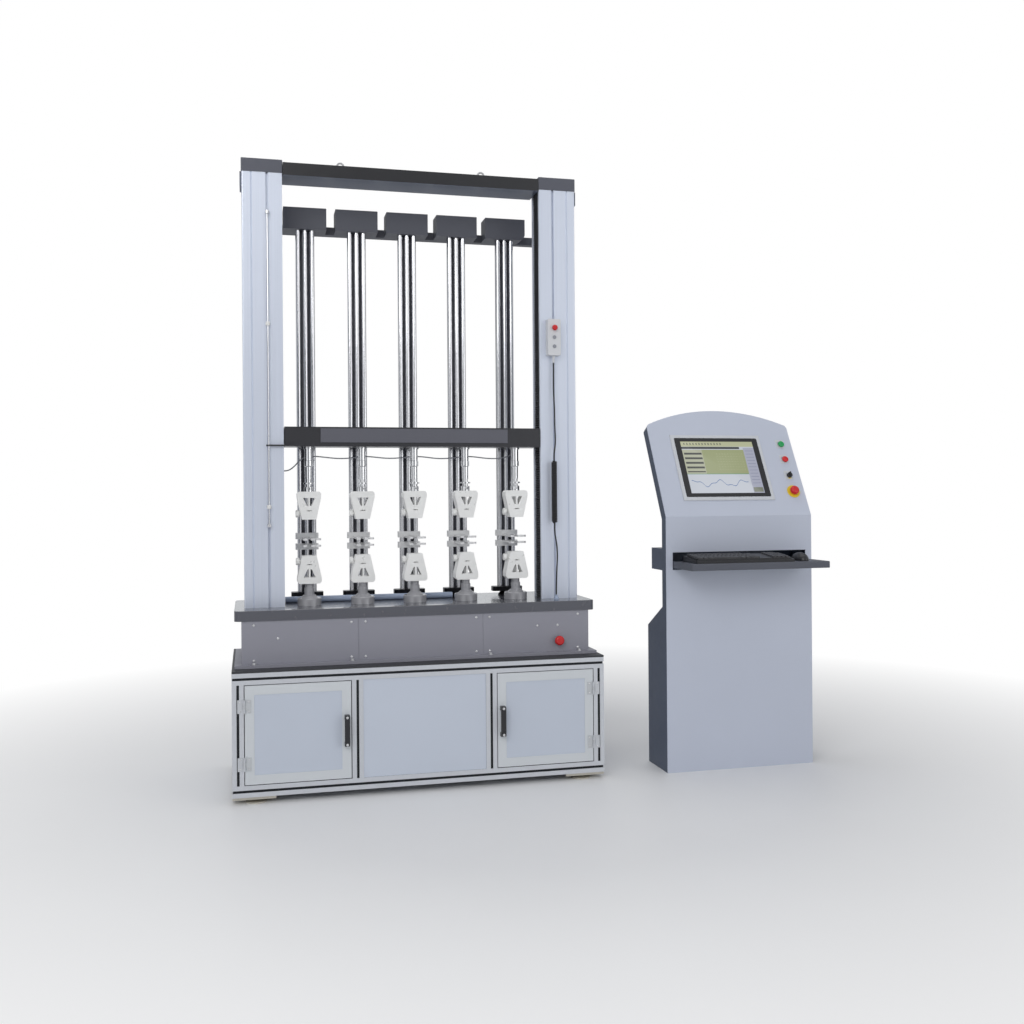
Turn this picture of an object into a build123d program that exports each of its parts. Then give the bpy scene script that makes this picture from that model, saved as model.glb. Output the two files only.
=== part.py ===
from build123d import *
import math
import os

# A five-station universal testing machine on its cabinet, with the control console beside it.
# Layout frame: X = 0 on the machine's mid-plane, Y = 0 on the cabinet's front, Z = 0 on the floor.
# Millimetres. The machine faces -Y. The finished pieces are moved so that X = Y = 0 is the
# middle of the whole set's floor rectangle.

# Cabinet of slotted extrusion
cabinet_width = 1500.0
cabinet_depth = 640.0
cabinet_bottom = 28.0
cabinet_height = 477.0
extrusion = 45.0
slot_mouth = 10.0
slot_lip = 4.5
slot_inner = 16.0
slot_depth = 11.5
mid_post_x = 270.0
panel_thickness = 4.0
panel_inset = 3.0
mat_thickness = 8.0

# Doors and their hinges
door_gap = 3.0
door_frame_depth = 18.0
door_border = 36.0
door_panel_thickness = 5.0
door_panel_recess = 2.0
door_swing_margin = 0.4
hinge_pin_y = -5.0
hinge_pin_radius = 2.5
hinge_knuckle_radius = 4.5
hinge_height = 52.0
hinge_leaf_width = 26.0
hinge_leaf_thickness = 2.5
hinge_notch = 8.0
hinge_notch_depth = 12.0
leaf_from_pin = 3.15
hinge_low_z = 156.0
hinge_high_z = 378.0
handle_length = 122.0
handle_width = 20.0
handle_reach = 32.0
handle_z = 266.0
handle_bar = 11.0
handle_foot = 16.0
handle_from_edge = 8.0
handle_round = 9.0

# Levelling feet
foot_plate_length = 165.0
foot_plate_width = 70.0
foot_plate_thickness = 12.0
foot_pad_radius = 40.0
foot_pad_height = 12.0
foot_stem_radius = 9.0
foot_x = 660.0
foot_inset_y = 45.0

# Bed
bed_half_width = 740.0
bed_front = 86.0
bed_rear = 554.0
bed_corner = 24.0
bed_top = 735.0
bed_plate_thickness = 41.0
bed_cover_half_width = 713.0
bed_cover_inset = 4.0
bed_cover_thickness = 2.0
bed_cover_seam_x = 256.0
seam_gap = 1.0
bed_wall = 12.0
flange_thickness = 12.0
flange_front = 62.0
rib_x = 256.0
rib_thickness = 10.0
belt_window_margin = 35.0
belt_window_low = 22.0
belt_window_high = 12.0
bed_stop_x = 581.0
bed_stop_z = 570.5

# Columns
column_half_gap = 541.0
column_width = 160.0
column_depth = 120.0
column_wall = 16.0
load_plane_y = 265.0
column_top = 2498.0
column_slot_from_inner = 60.0
column_groove_from_outer = 37.0
column_corner = 5.0
cap_height = 54.0
cap_overhang = 2.0
cap_wall = 4.0
cap_seat = 22.0

# Top beam
beam_below_column_top = 8.0
beam_height = 52.0
beam_depth = 145.0
beam_end_gap = 3.0
beam_end_wall = 12.0
beam_wall = 10.0
end_plate_thickness = 7.0
end_plate_height = 58.0
eye_bolt_x = 300.0
eye_ring_radius = 13.5
eye_wire_radius = 4.0

# Drive inside the columns and the bed
guide_x = 585.0
guide_radius = 20.0
screw_x = 640.0
screw_radius = 16.0
lower_journal_radius = 15.0
upper_journal_radius = 10.0
bearing_outer_radius = 36.0
upper_bearing_radius = 22.0
bearing_height = 24.0
bearing_plate_height = 24.0
running_clearance = 0.05
seat_clearance = 0.3
main_pulley_radius = 52.0
main_pulley_z = 598.0
drive_pulley_radius = 52.0
motor_pulley_radius = 30.0
drive_pulley_z = 648.0
pulley_width = 30.0
belt_thickness = 5.0
belt_width = 25.0
reducer_x = 430.0
reducer_size = 100.0
motor_size = 90.0
motor_length = 180.0

# Crosshead
crosshead_bottom = 1388.0
crosshead_height = 80.0
crosshead_front = 200.0
crosshead_depth = 130.0
crosshead_half_length = 538.0
crosshead_cover_half = 394.0
crosshead_cover_thickness = 3.0
tongue_half_width = 38.0
tongue_height = 60.0
tongue_reach = 676.0
nut_radius = 25.0
nut_flange_radius = 30.0
nut_flange_height = 12.0
bushing_radius = 26.0
pocket_half_width = 62.0
pocket_front_wall = 40.0
pocket_flange = 14.0
cover_low_margin = 16.0
cover_high_margin = 6.0

# Bellows
bellows_gap = 1.0
bellows_depth = 16.0
bellows_half_width = 42.0
bellows_pitch = 20.0
bellows_fold = 7.0

# Stations
station_pitch = 220.0
station_count = 5

# Upper load string, from the crosshead down
cell_radius = 16.0
cell_height = 58.0
adapter_collar_radius = 18.0
adapter_collar_height = 24.0
adapter_rod_radius = 14.0
adapter_rod_height = 52.0
adapter_ring_radius = 22.0
adapter_ring_height = 6.0
adapter_pin_radius = 6.0
adapter_neck_radius = 12.0
adapter_boss_radius = 19.5

# Screw-action grips
grip_wide = 98.0
grip_narrow = 58.0
grip_height = 115.0
grip_depth = 64.0
grip_shoulder = 24.0
upper_grip_top = 1203.0
lower_grip_top = 939.0
jaw_depth = 40.0
jaw_height = 44.0
jaw_thickness = 10.0
jaw_gap = 3.0
jaw_mouth_offset = 3.0
jaw_opening = 6.0
jaw_closing = 1.0
jaw_teeth = 7
spindle_radius = 5.0
spindle_height = 24.0
knob_radius = 15.0
knob_length = 15.0
window_bottom = 56.0
window_height = 33.0
window_half_top = 24.0
window_half_bottom = 9.0
window_bar = 7.0
grip_slot_height = 4.0
grip_slot_width = 20.0

# Lower couplings
coupling_base_radius = 49.0
coupling_base_height = 30.0
coupling_hub_radius = 36.0
coupling_fork_radius = 20.0
coupling_neck_radius = 17.0
coupling_pin_radius = 5.0

# Long-travel extensometers
rod_y = 430.0
rod_radius = 10.0
rod_spacing = 30.0
wing_width = 134.0
wing_depth = 56.0
wing_thickness = 20.0
wing_bottom = 755.0
pedestal_radius = 27.0
head_width = 182.0
head_front = 410.0
head_depth = 86.0
head_below_column_top = 172.0
head_height = 93.0
head_corner = 3.0
last_head_corner = 26.0
head_rail_height = 34.0
head_rail_depth = 40.0
head_rail_wall = 4.0
head_bracket_width = 80.0
head_bracket_thickness = 8.0
carriage_width = 96.0
carriage_depth = 38.0
carriage_height = 26.0
arm_thickness = 8.0
arm_width = 16.0
arm_spacing = 30.0
arm_front_y = 250.0
upper_arm_z = 1001.0
lower_arm_z = 974.0
clip_radius = 15.0
clip_hole_radius = 9.0
conduit_radius = 13.0
conduit_y = 372.0
conduit_start_x = -535.0
conduit_end_x = 180.0

# Travel limit rod on the left column
limit_rod_radius = 3.0
limit_rod_y = 194.5
limit_rod_low = 1060.0
limit_rod_below_column_top = 158.0
limit_stop_radius = 9.0
limit_stop_height = 16.0
limit_holder_height = 12.0
upper_stop_z = 1883.0
lower_stop_z = 1142.0
finger_height = 6.0
finger_grip = 40.0
finger_half_depth = 5.0
finger_overreach = 10.0

# Load cell cable, its clip on the left column and its five cell connectors
harness_radius = 2.6
cable_y = 304.0
cable_clip_x = -575.0
cable_clip_y = 345.0
cable_clip_z = 1372.0
cable_clip_size = 20.0
connector_radius = 5.0
connector_z = 1350.0

# Hand pendant on the right column
pendant_width = 58.0
pendant_height = 157.0
pendant_depth = 36.0
pendant_top = 1937.0
pendant_x = 596.0
pendant_gap = 0.5
pendant_stop_z = 1898.0
pendant_up_z = 1858.0
pendant_down_z = 1819.0
pendant_stop_radius = 12.0
pendant_key_radius = 8.0
pendant_relief_length = 30.0
pendant_relief_radius = 7.0
hook_clearance = 0.3
hook_engagement = 3.5
hook_drop = 30.0
hook_height = 20.0
key_bore_depth = 14.0
small_stop_height = 9.0
cord_radius = 3.25
coil_radius = 13.0

# Push buttons
stop_head_radius = 20.0
stop_head_height = 16.0
stop_stem_radius = 11.0
stop_travel = 6.0
stop_collar_radius = 17.0
button_collar_height = 6.0
key_travel = 3.0

# Control console
console_x = 1032.0
console_width = 680.0
console_sheet = 4.0
console_wall = 3.0
fold_z = 1086.0
head_lean = 28.7
head_side_length = 458.0
head_arch_height = 79.0
head_corner_radius = 22.0
console_upper_depth = 48.0
console_base_depth = 218.0
console_slope_low = 605.0
console_slope_high = 700.0
drawer_bottom = 856.0
drawer_top = 948.0
drawer_depth = 168.0
keyboard_slot_width = 622.0
keyboard_slot_low = 860.0
keyboard_slot_high = 934.0
shelf_thickness = 28.0
shelf_low = 868.0
shelf_reach = 205.0
shelf_rear = 12.0
shelf_side_gap = 2.0
runner_width = 16.0
keyboard_width = 436.0
keyboard_depth = 150.0
keyboard_x = 1310.0
keyboard_y = -112.0
mouse_x = 1590.0
mouse_y = -120.0
mouse_half_width = 30.0
mouse_length_ratio = 1.75
mouse_height_ratio = 1.1
key_bank_margin = 8.0
keyboard_front_height = 12.0
keyboard_rear_height = 26.0
keyboard_ledge = 18.0
key_bank_rear = 24.0
key_bank_rise = 5.0
tray_border = 12.0
tray_front_border = 14.0
tray_skin = 5.0
monitor_width = 430.0
monitor_height = 330.0
monitor_x_offset = -28.0
monitor_slope_centre = 240.0
monitor_depth = 46.0
monitor_frame = 22.0
monitor_proud = 5.0
monitor_screen_recess = 2.0
panel_button_x = 1658.0
control_stem = 10.0
control_bore_gap = 1.3
control_collar_radius = 15.0
control_collar_height = 3.0
control_insert = 14.0
stop_plate_radius = 30.0
selector_radius = 12.0
selector_height = 14.5
selector_bar_width = 6.0
selector_bar_height = 8.0
start_slope = 358.0
halt_slope = 279.0
selector_slope = 197.0
console_stop_slope = 117.0

# Worked out from the above
cabinet_top = cabinet_bottom + cabinet_height
mat_top = cabinet_top + mat_thickness
bed_under = bed_top - bed_plate_thickness
column_front = load_plane_y - column_depth / 2
column_rear = load_plane_y + column_depth / 2
column_outer = column_half_gap + column_width
stations = [(i - (station_count - 1) / 2) * station_pitch for i in range(station_count)]
crosshead_top = crosshead_bottom + crosshead_height
tongue_bottom = crosshead_bottom + (crosshead_height - tongue_height) / 2
lower_grip_bottom = lower_grip_top - grip_height
beam_bottom = column_top - beam_below_column_top
head_bottom = column_top - head_below_column_top
limit_rod_high = column_top - limit_rod_below_column_top
console_right = console_x + console_width
console_mid = console_x + console_width / 2

# The set's middle goes to X = Y = 0
shift = Location((
    -(console_right - cabinet_width / 2) / 2,
    -(cabinet_depth - shelf_reach) / 2,
    0,
))

os.makedirs("parts", exist_ok=True)


def save(name, *solids):
    """Write one named piece, or one group of alike pieces, moved to its place in the set."""
    flat = [s for shape in solids for s in shape.solids()]
    export_step(Compound(children=[shift * s for s in flat]), f"parts/{name}.step")


def block(x, y, z):
    """A box between two X, two Y and two Z values."""
    size = [hi - lo for lo, hi in (x, y, z)]
    return Pos(*[(lo + hi) / 2 for lo, hi in (x, y, z)]) * Box(*size)


def post(x, y, z, radius):
    """An upright cylinder between two Z values."""
    low, high = z
    return Pos(x, y, (low + high) / 2) * Cylinder(radius, high - low)


def turned(x, y, points):
    """A body turned about an upright axis from (radius, z) points, listed upwards."""
    low, high = points[0][1], points[-1][1]
    outline = [(0, low)] + points + [(0, high)]
    profile = make_face(Polyline(*[(r, 0, z) for r, z in outline], close=True))
    return Pos(x, y, 0) * revolve(profile, Axis.Z)


def mirrored(shape):
    """The same piece on the machine's other side."""
    return mirror(shape, Plane.YZ)


def both_sides(shape):
    return [shape, mirrored(shape)]


def extrusion_bar(length):
    """Square slotted extrusion along +Z from the origin, with a T-slot in each side."""
    profile = Rectangle(extrusion, extrusion)
    side = extrusion / 2
    for turn in range(4):
        mouth = Pos(side - slot_lip / 2, 0) * Rectangle(slot_lip, slot_mouth)
        hollow = Pos(side - (slot_lip + slot_depth) / 2, 0) * Rectangle(
            slot_depth - slot_lip, slot_inner
        )
        profile -= Rot(0, 0, 90 * turn) * (mouth + hollow)
    return extrude(profile, length)


# Cabinet frame


def frame_bars():
    """Posts stand between the lower and upper rails, and the long rails run the full width."""
    half = cabinet_width / 2 - extrusion / 2
    near, far = extrusion / 2, cabinet_depth - extrusion / 2
    low, high = cabinet_bottom + extrusion / 2, cabinet_top - extrusion / 2
    post_length = cabinet_height - 2 * extrusion
    bars = []
    for y in (near, far):
        for z in (low, high):
            bars.append(Pos(-cabinet_width / 2, y, z) * Rot(0, 90, 0) * extrusion_bar(cabinet_width))
        for x in (-half, -mid_post_x, mid_post_x, half):
            bars.append(Pos(x, y, cabinet_bottom + extrusion) * extrusion_bar(post_length))
    for x in (-half, -mid_post_x, mid_post_x, half):
        for z in (low, high):
            side_rail = Rot(-90, 0, 0) * extrusion_bar(cabinet_depth - 2 * extrusion)
            bars.append(Pos(x, extrusion, z) * side_rail)
    return bars


# Cabinet panels: the fixed front panel, the back, the two ends and the floor


def cabinet_panels():
    low, high = cabinet_bottom + extrusion, cabinet_top - extrusion
    gap = seat_clearance
    inner = mid_post_x - extrusion / 2
    outer = cabinet_width / 2 - extrusion
    z = (low + gap, high - gap)
    front_y = (panel_inset, panel_inset + panel_thickness)
    back_y = (cabinet_depth - panel_inset - panel_thickness, cabinet_depth - panel_inset)
    panels = [block((-inner + gap, inner - gap), front_y, z)]
    bays = ((-outer, -inner - extrusion), (-inner, inner), (inner + extrusion, outer))
    for a, b in bays:
        panels.append(block((a + gap, b - gap), back_y, z))
    end_x = (cabinet_width / 2 - panel_inset - panel_thickness, cabinet_width / 2 - panel_inset)
    end = block(end_x, (extrusion + gap, cabinet_depth - extrusion - gap), z)
    panels += both_sides(end)
    floor_z = (low + gap, low + gap + panel_thickness)
    ends = (extrusion + gap, cabinet_depth - extrusion - gap)
    for a, b in bays:
        panels.append(block((a + gap, b - gap), ends, floor_z))
    return panels


mat = block((-cabinet_width / 2, cabinet_width / 2), (0, cabinet_depth), (cabinet_top, mat_top))
save("cabinet_panels", *cabinet_panels(), mat)


# Levelling feet: a plate under the frame's corner, a stem and a pad


def levelling_foot(x, y):
    edge = cabinet_width / 2
    plate = block(
        (edge - foot_plate_length, edge),
        (y - foot_plate_width / 2, y + foot_plate_width / 2),
        (cabinet_bottom - foot_plate_thickness, cabinet_bottom),
    )
    low = cabinet_bottom - foot_plate_thickness
    pad = turned(x, y, [
        (foot_pad_radius, 0),
        (foot_pad_radius, foot_pad_height * 0.5),
        (foot_pad_radius * 0.6, foot_pad_height),
        (foot_stem_radius, foot_pad_height),
        (foot_stem_radius, low),
    ])
    return [plate, pad]


feet = []
for foot_y in (foot_inset_y, cabinet_depth - foot_inset_y):
    for piece in levelling_foot(foot_x, foot_y):
        feet += both_sides(piece)
save("levelling_feet", *feet)


# Doors: a border frame with a thinner panel, a bow handle and the moving hinge leaves
door_outer = cabinet_width / 2 - extrusion - door_gap
door_inner = mid_post_x + extrusion / 2 + door_gap
door_low = cabinet_bottom + extrusion + door_gap
door_high = cabinet_top - extrusion - door_gap
pin_x = cabinet_width / 2 - extrusion - door_gap / 2


def hinge_notch_block(z, rear):
    """The room round the pin that the other leaf's knuckles take up."""
    return block((pin_x - hinge_notch, pin_x + hinge_notch), (-hinge_notch_depth, rear), z)


def right_door():
    z = (door_low, door_high)
    y = (0, door_frame_depth)
    slab = block((door_inner, door_outer), y, z)
    inside = (door_inner + door_border, door_outer - door_border)
    tall = (door_low + door_border, door_high - door_border)
    slab -= block(inside, (-1, door_panel_recess), tall)
    panel_back = door_panel_recess + door_panel_thickness
    slab -= block(inside, (panel_back, door_frame_depth + 1), tall)
    slab = fillet(slab.edges().filter_by(Axis.Z).group_by(Axis.Y)[0].sort_by(Axis.X)[0], 1.5)
    pieces = [slab]
    for z_mid in (hinge_low_z, hinge_high_z):
        z_leaf = (z_mid - hinge_height / 2, z_mid + hinge_height / 2)
        leaf = block(
            (pin_x - hinge_leaf_width, pin_x - leaf_from_pin),
            (-hinge_leaf_thickness, 0),
            z_leaf,
        )
        knuckle_z = (z_mid - hinge_height / 6, z_mid + hinge_height / 6)
        knuckle = post(pin_x, hinge_pin_y, knuckle_z, hinge_knuckle_radius)
        arm = block((pin_x - hinge_knuckle_radius, pin_x), (hinge_pin_y, 0), knuckle_z)
        hole = post(pin_x, hinge_pin_y, (0, cabinet_top), hinge_pin_radius + running_clearance)
        upper = hinge_notch_block((knuckle_z[1], z_leaf[1]), 0)
        lower = hinge_notch_block((z_leaf[0], knuckle_z[0]), 0)
        pieces.append((leaf - upper - lower) + arm + knuckle - hole)
    return pieces


def right_handle():
    """A bow handle: two feet on the door and a bar rounded at its ends."""
    x = door_inner + handle_width / 2 + handle_from_edge
    width = (x - handle_width / 2, x + handle_width / 2)
    z = (handle_z - handle_length / 2, handle_z + handle_length / 2)
    bow = block(width, (-handle_reach, 0), z)
    grip_z = (z[0] + handle_foot, z[1] - handle_foot)
    bow -= block((width[0] - 1, width[1] + 1), (-handle_reach + handle_bar, 1), grip_z)
    return fillet(bow.edges().filter_by(Axis.X).group_by(Axis.Y)[0], handle_round)


right_pieces = right_door() + [right_handle()]
save("door_right", *right_pieces)
save("door_left", *[mirrored(p) for p in right_pieces])


def fixed_hinges():
    """The leaf on the post, its two end knuckles and the pin."""
    pieces = []
    for z_mid in (hinge_low_z, hinge_high_z):
        z_leaf = (z_mid - hinge_height / 2, z_mid + hinge_height / 2)
        gap = door_swing_margin
        middle = (z_mid - hinge_height / 6 - gap, z_mid + hinge_height / 6 + gap)
        leaf = block(
            (pin_x + leaf_from_pin, pin_x + hinge_leaf_width),
            (-hinge_leaf_thickness, 0),
            z_leaf,
        )
        ends = post(pin_x, hinge_pin_y, z_leaf, hinge_knuckle_radius)
        ends += block((pin_x, pin_x + hinge_knuckle_radius), (hinge_pin_y, 0), z_leaf)
        notch = hinge_notch_block(middle, 1)
        pin = post(pin_x, hinge_pin_y, z_leaf, hinge_pin_radius)
        pieces.append(leaf - notch + (ends - notch) + pin)
    return pieces


save("cabinet_frame", *frame_bars(), *[p for s in fixed_hinges() for p in both_sides(s)])


# Bed: a welded frame on a flange plate, with a thick top plate and sheet covers


def bed_frame():
    y = (bed_front + bed_cover_inset + bed_cover_thickness, bed_rear - bed_cover_inset)
    z = (mat_top, bed_under)
    half = bed_cover_half_width
    flange = block(
        (-bed_half_width, bed_half_width),
        (flange_front, bed_rear),
        (mat_top, mat_top + flange_thickness),
    )
    wall = block((half - bed_wall, half), y, z)
    back = block((-half, half), (y[1] - bed_wall, y[1]), z)
    rib = block((rib_x - rib_thickness / 2, rib_x + rib_thickness / 2), y, z)
    reach = main_pulley_radius + belt_window_margin
    window_z = (mat_top + belt_window_low, bed_under - belt_window_high)
    window_x = (rib_x - rib_thickness, rib_x + rib_thickness)
    rib -= block(window_x, (load_plane_y - reach, load_plane_y + reach), window_z)
    return flange + wall + mirrored(wall) + back + rib + mirrored(rib)


save("bed_frame", bed_frame())


def bed_top_plate():
    y_mid = (bed_front + bed_rear) / 2
    outline = Pos(0, y_mid) * RectangleRounded(2 * bed_half_width, bed_rear - bed_front, bed_corner)
    plate = Pos(0, 0, bed_under) * extrude(outline, bed_plate_thickness)
    for side in (-1, 1):
        seat = bearing_outer_radius + running_clearance
        plate -= post(side * screw_x, load_plane_y, (bed_under, bed_top), seat)
    return chamfer(plate.edges().group_by(Axis.Z)[-1].sort_by(Axis.Y)[0], 2)


def stop_switch_collar(x, y, z):
    """The fixed collar of a mushroom button that points to -Y."""
    ring = Cylinder(stop_collar_radius, button_collar_height)
    ring -= Cylinder(stop_stem_radius + running_clearance, button_collar_height)
    return Pos(x, y - button_collar_height / 2, z) * Rot(90, 0, 0) * ring


def bed_front_covers():
    y = (bed_front + bed_cover_inset, bed_front + bed_cover_inset + bed_cover_thickness)
    z = (mat_top + flange_thickness, bed_under)
    seam = bed_cover_seam_x
    gap = seam_gap / 2
    half = bed_cover_half_width
    spans = ((-half, -seam - gap), (-seam + gap, seam - gap), (seam + gap, half))
    panels = []
    for span in spans:
        panel = block(span, y, z)
        if span[0] < bed_stop_x < span[1]:
            hole = Cylinder(stop_stem_radius + seat_clearance, 3 * bed_cover_thickness)
            panel -= Pos(bed_stop_x, y[0], bed_stop_z) * Rot(90, 0, 0) * hole
        panels.append(panel)
    panels.append(stop_switch_collar(bed_stop_x, y[0], bed_stop_z))
    return panels


save("bed_front_covers", *bed_front_covers())


def mushroom(radius, height, stem_radius, stem_length):
    """A mushroom head on its stem, its face towards +Z and the seat of the head at Z = 0."""
    head = Pos(0, 0, height / 2) * Cylinder(radius, height)
    head = fillet(head.edges().group_by(Axis.Z)[-1], height * 0.6)
    head = chamfer(head.edges().group_by(Axis.Z)[0], 1)
    return head + Pos(0, 0, -stem_length / 2) * Cylinder(stem_radius, stem_length)


cover_face = bed_front + bed_cover_inset
stop_seat = button_collar_height + stop_travel + seat_clearance
bed_stop = mushroom(stop_head_radius, stop_head_height, stop_stem_radius, stop_seat + 12)
save("bed_stop_button", Pos(bed_stop_x, cover_face - stop_seat, bed_stop_z) * Rot(90, 0, 0) * bed_stop)


# Columns: an open profile that carries the screw and guide, with slots for accessories


def column_profile():
    """Right column, seen from above: open to the inside, a T-slot and a groove in front."""
    x_mid = column_half_gap + column_width / 2
    outline = Pos(x_mid, load_plane_y) * Rectangle(column_width, column_depth)
    chamber = (
        column_half_gap - 1,
        column_outer - column_wall,
    )
    chamber_width = column_depth - 2 * column_wall
    hollow = Pos((chamber[0] + chamber[1]) / 2, load_plane_y) * Rectangle(
        chamber[1] - chamber[0], chamber_width
    )
    profile = outline - hollow
    slot_x = column_half_gap + column_slot_from_inner
    groove_x = column_outer - column_groove_from_outer
    for y, inward in ((column_front, 1), (column_rear, -1)):
        profile -= Pos(slot_x, y + inward * 2) * Rectangle(slot_mouth, 4.1)
        profile -= Pos(slot_x, y + inward * 7) * Rectangle(slot_inner, 6)
        profile -= Pos(groove_x, y) * Rot(0, 0, 45) * Rectangle(5, 5)
    profile -= Pos(column_outer - 2, load_plane_y) * Rectangle(4.1, slot_mouth)
    profile -= Pos(column_outer - 7, load_plane_y) * Rectangle(6, slot_inner)
    return profile


right_column = Pos(0, 0, bed_top) * extrude(column_profile(), column_top - bed_top)
outer_edges = right_column.edges().filter_by(Axis.Z).group_by(Axis.X)[-1].sort_by(Axis.Y)
right_column = fillet([outer_edges[0], outer_edges[-1]], column_corner)


def column_cap():
    """A lid over the column's top, hollow below."""
    x = (column_half_gap - cap_overhang, column_outer + cap_overhang)
    y = (column_front - cap_overhang, column_rear + cap_overhang)
    lid = block(x, y, (column_top, column_top + cap_height))
    lid = fillet(lid.edges().filter_by(Axis.Z) + lid.edges().group_by(Axis.Z)[-1], 3)
    inside_x = (x[0] + cap_seat, x[1] - cap_seat)
    inside_y = (y[0] + cap_seat, y[1] - cap_seat)
    return lid - block(inside_x, inside_y, (column_top - 1, column_top + cap_height - cap_wall))


# Top beam with the plates that bolt it through the columns


def top_beam():
    """A channel that opens to the back, closed at its ends."""
    x = (-column_half_gap + beam_end_gap, column_half_gap - beam_end_gap)
    y = (crosshead_front, crosshead_front + beam_depth)
    z = (beam_bottom, beam_bottom + beam_height)
    beam = block(x, y, z)
    inside_x = (x[0] + beam_end_wall, x[1] - beam_end_wall)
    beam -= block(inside_x, (y[0] + beam_wall, y[1] + 1), (z[0] + beam_wall, z[1] - beam_wall))
    plate = block(
        (column_outer, column_outer + end_plate_thickness),
        (column_front + 10, column_rear - 10),
        (column_top - end_plate_height, column_top - seat_clearance),
    )
    bolt = block(
        (column_half_gap - beam_end_gap, column_half_gap),
        (column_front + 2, column_front + column_wall - 2),
        (beam_bottom + 1, column_top - 1),
    )
    return [beam + bolt + mirrored(bolt)] + both_sides(plate)


def eye_bolt(x):
    base = beam_bottom + beam_height
    y = crosshead_front + beam_depth / 2
    ring_z = base + 5 + eye_ring_radius
    ring = Pos(x, y, ring_z) * Rot(90, 0, 0) * Torus(eye_ring_radius, eye_wire_radius)
    return ring + Pos(x, y, base + 3.5) * Cylinder(10, 7)


lifting_eyes = [eye_bolt(-eye_bolt_x), eye_bolt(eye_bolt_x)]
save("top_beam", *top_beam(), *lifting_eyes, *both_sides(column_cap()))


cable_clip = block(
    (cable_clip_x - cable_clip_size / 2, cable_clip_x + cable_clip_size / 2),
    (column_rear, cable_clip_y + cable_clip_size / 2),
    (cable_clip_z, cable_clip_z + cable_clip_size),
)

# Guides, bearings and screws
bearing_plate_top = column_top - 4
bearing_plate_bottom = bearing_plate_top - bearing_plate_height
guide = post(guide_x, load_plane_y, (bed_top, bearing_plate_bottom), guide_radius)


def upper_bearing_plate():
    inner = column_half_gap + bellows_gap + bellows_depth + seat_clearance
    outer = column_outer - column_wall - seat_clearance
    half = column_depth / 2 - column_wall - seat_clearance
    plate = block(
        (inner, outer),
        (load_plane_y - half, load_plane_y + half),
        (bearing_plate_bottom, bearing_plate_top),
    )
    seat = upper_bearing_radius + running_clearance
    return plate - post(screw_x, load_plane_y, (bearing_plate_bottom, bearing_plate_top), seat)


def bearing_ring(outer, inner, low):
    height = (low, low + bearing_height)
    ring = post(screw_x, load_plane_y, height, outer)
    ring -= post(screw_x, load_plane_y, height, inner + running_clearance)
    return ring


lower_bearing_z = bed_under + (bed_plate_thickness - bearing_height) / 2
bearings = [
    upper_bearing_plate(),
    bearing_ring(upper_bearing_radius, upper_journal_radius, bearing_plate_bottom),
    bearing_ring(bearing_outer_radius, lower_journal_radius, lower_bearing_z),
]
bearing_pieces = [p for b in bearings for p in both_sides(b)]
save("columns", *both_sides(right_column), *both_sides(guide), *bearing_pieces, cable_clip)

screw_low = main_pulley_z - 8
screw = turned(screw_x, load_plane_y, [
    (lower_journal_radius, screw_low),
    (lower_journal_radius, bed_top + 6),
    (screw_radius, bed_top + 6),
    (screw_radius, bearing_plate_bottom - 6),
    (upper_journal_radius, bearing_plate_bottom - 6),
    (upper_journal_radius, bearing_plate_top - 2),
])


def pulley(x, z, radius, bore):
    """A flanged belt pulley."""
    lip, flange = 3.0, 2.5
    body = turned(x, load_plane_y, [
        (radius + lip, z),
        (radius + lip, z + flange),
        (radius, z + flange),
        (radius, z + pulley_width - flange),
        (radius + lip, z + pulley_width - flange),
        (radius + lip, z + pulley_width),
    ])
    return body - post(x, load_plane_y, (z, z + pulley_width), bore)


bore = lower_journal_radius
main_pulley = pulley(screw_x, main_pulley_z, main_pulley_radius, bore)
drive_pulley = pulley(screw_x, drive_pulley_z, drive_pulley_radius, bore)
save("ball_screw_right", screw, main_pulley, drive_pulley)
save("ball_screw_left", mirrored(screw), mirrored(main_pulley))


# Motor, reducer and belts inside the bed
reducer_top = drive_pulley_z - 8
reducer_low = reducer_top - reducer_size
motor_shaft_radius = 9.0
motor_wheel = pulley(reducer_x, drive_pulley_z, motor_pulley_radius, motor_shaft_radius)
shaft_z = (reducer_top + seat_clearance, drive_pulley_z + pulley_width)
motor_shaft = post(reducer_x, load_plane_y, shaft_z, motor_shaft_radius)


def drive_motor():
    half = reducer_size / 2
    gearbox = block(
        (reducer_x - half, reducer_x + half),
        (load_plane_y - half, load_plane_y + half),
        (reducer_low, reducer_top),
    )
    gearbox = chamfer(gearbox.edges().filter_by(Axis.Z), 8)
    z_mid = reducer_low + reducer_size / 2
    end = reducer_x - half
    body = block(
        (end - motor_length, end),
        (load_plane_y - motor_size / 2, load_plane_y + motor_size / 2),
        (z_mid - motor_size / 2, z_mid + motor_size / 2),
    )
    body = chamfer(body.edges().filter_by(Axis.X), 10)
    bracket_z = (mat_top + flange_thickness, reducer_low)
    bracket = block(
        (reducer_x - half, reducer_x + half), (load_plane_y - half, load_plane_y + half), bracket_z
    )
    return [gearbox, body, bracket]


def belt(x_a, radius_a, x_b, radius_b, z):
    """An open belt round two upright pulleys, a little off their faces."""
    gap = seat_clearance
    inner = make_hull(
        (Pos(x_a, load_plane_y) * Circle(radius_a + gap)).edges()
        + (Pos(x_b, load_plane_y) * Circle(radius_b + gap)).edges()
    )
    outer = make_hull(
        (Pos(x_a, load_plane_y) * Circle(radius_a + gap + belt_thickness)).edges()
        + (Pos(x_b, load_plane_y) * Circle(radius_b + gap + belt_thickness)).edges()
    )
    low = z + (pulley_width - belt_width + 1.2) / 2
    return Pos(0, 0, low) * extrude(outer - inner, belt_width - 1.2)


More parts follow.
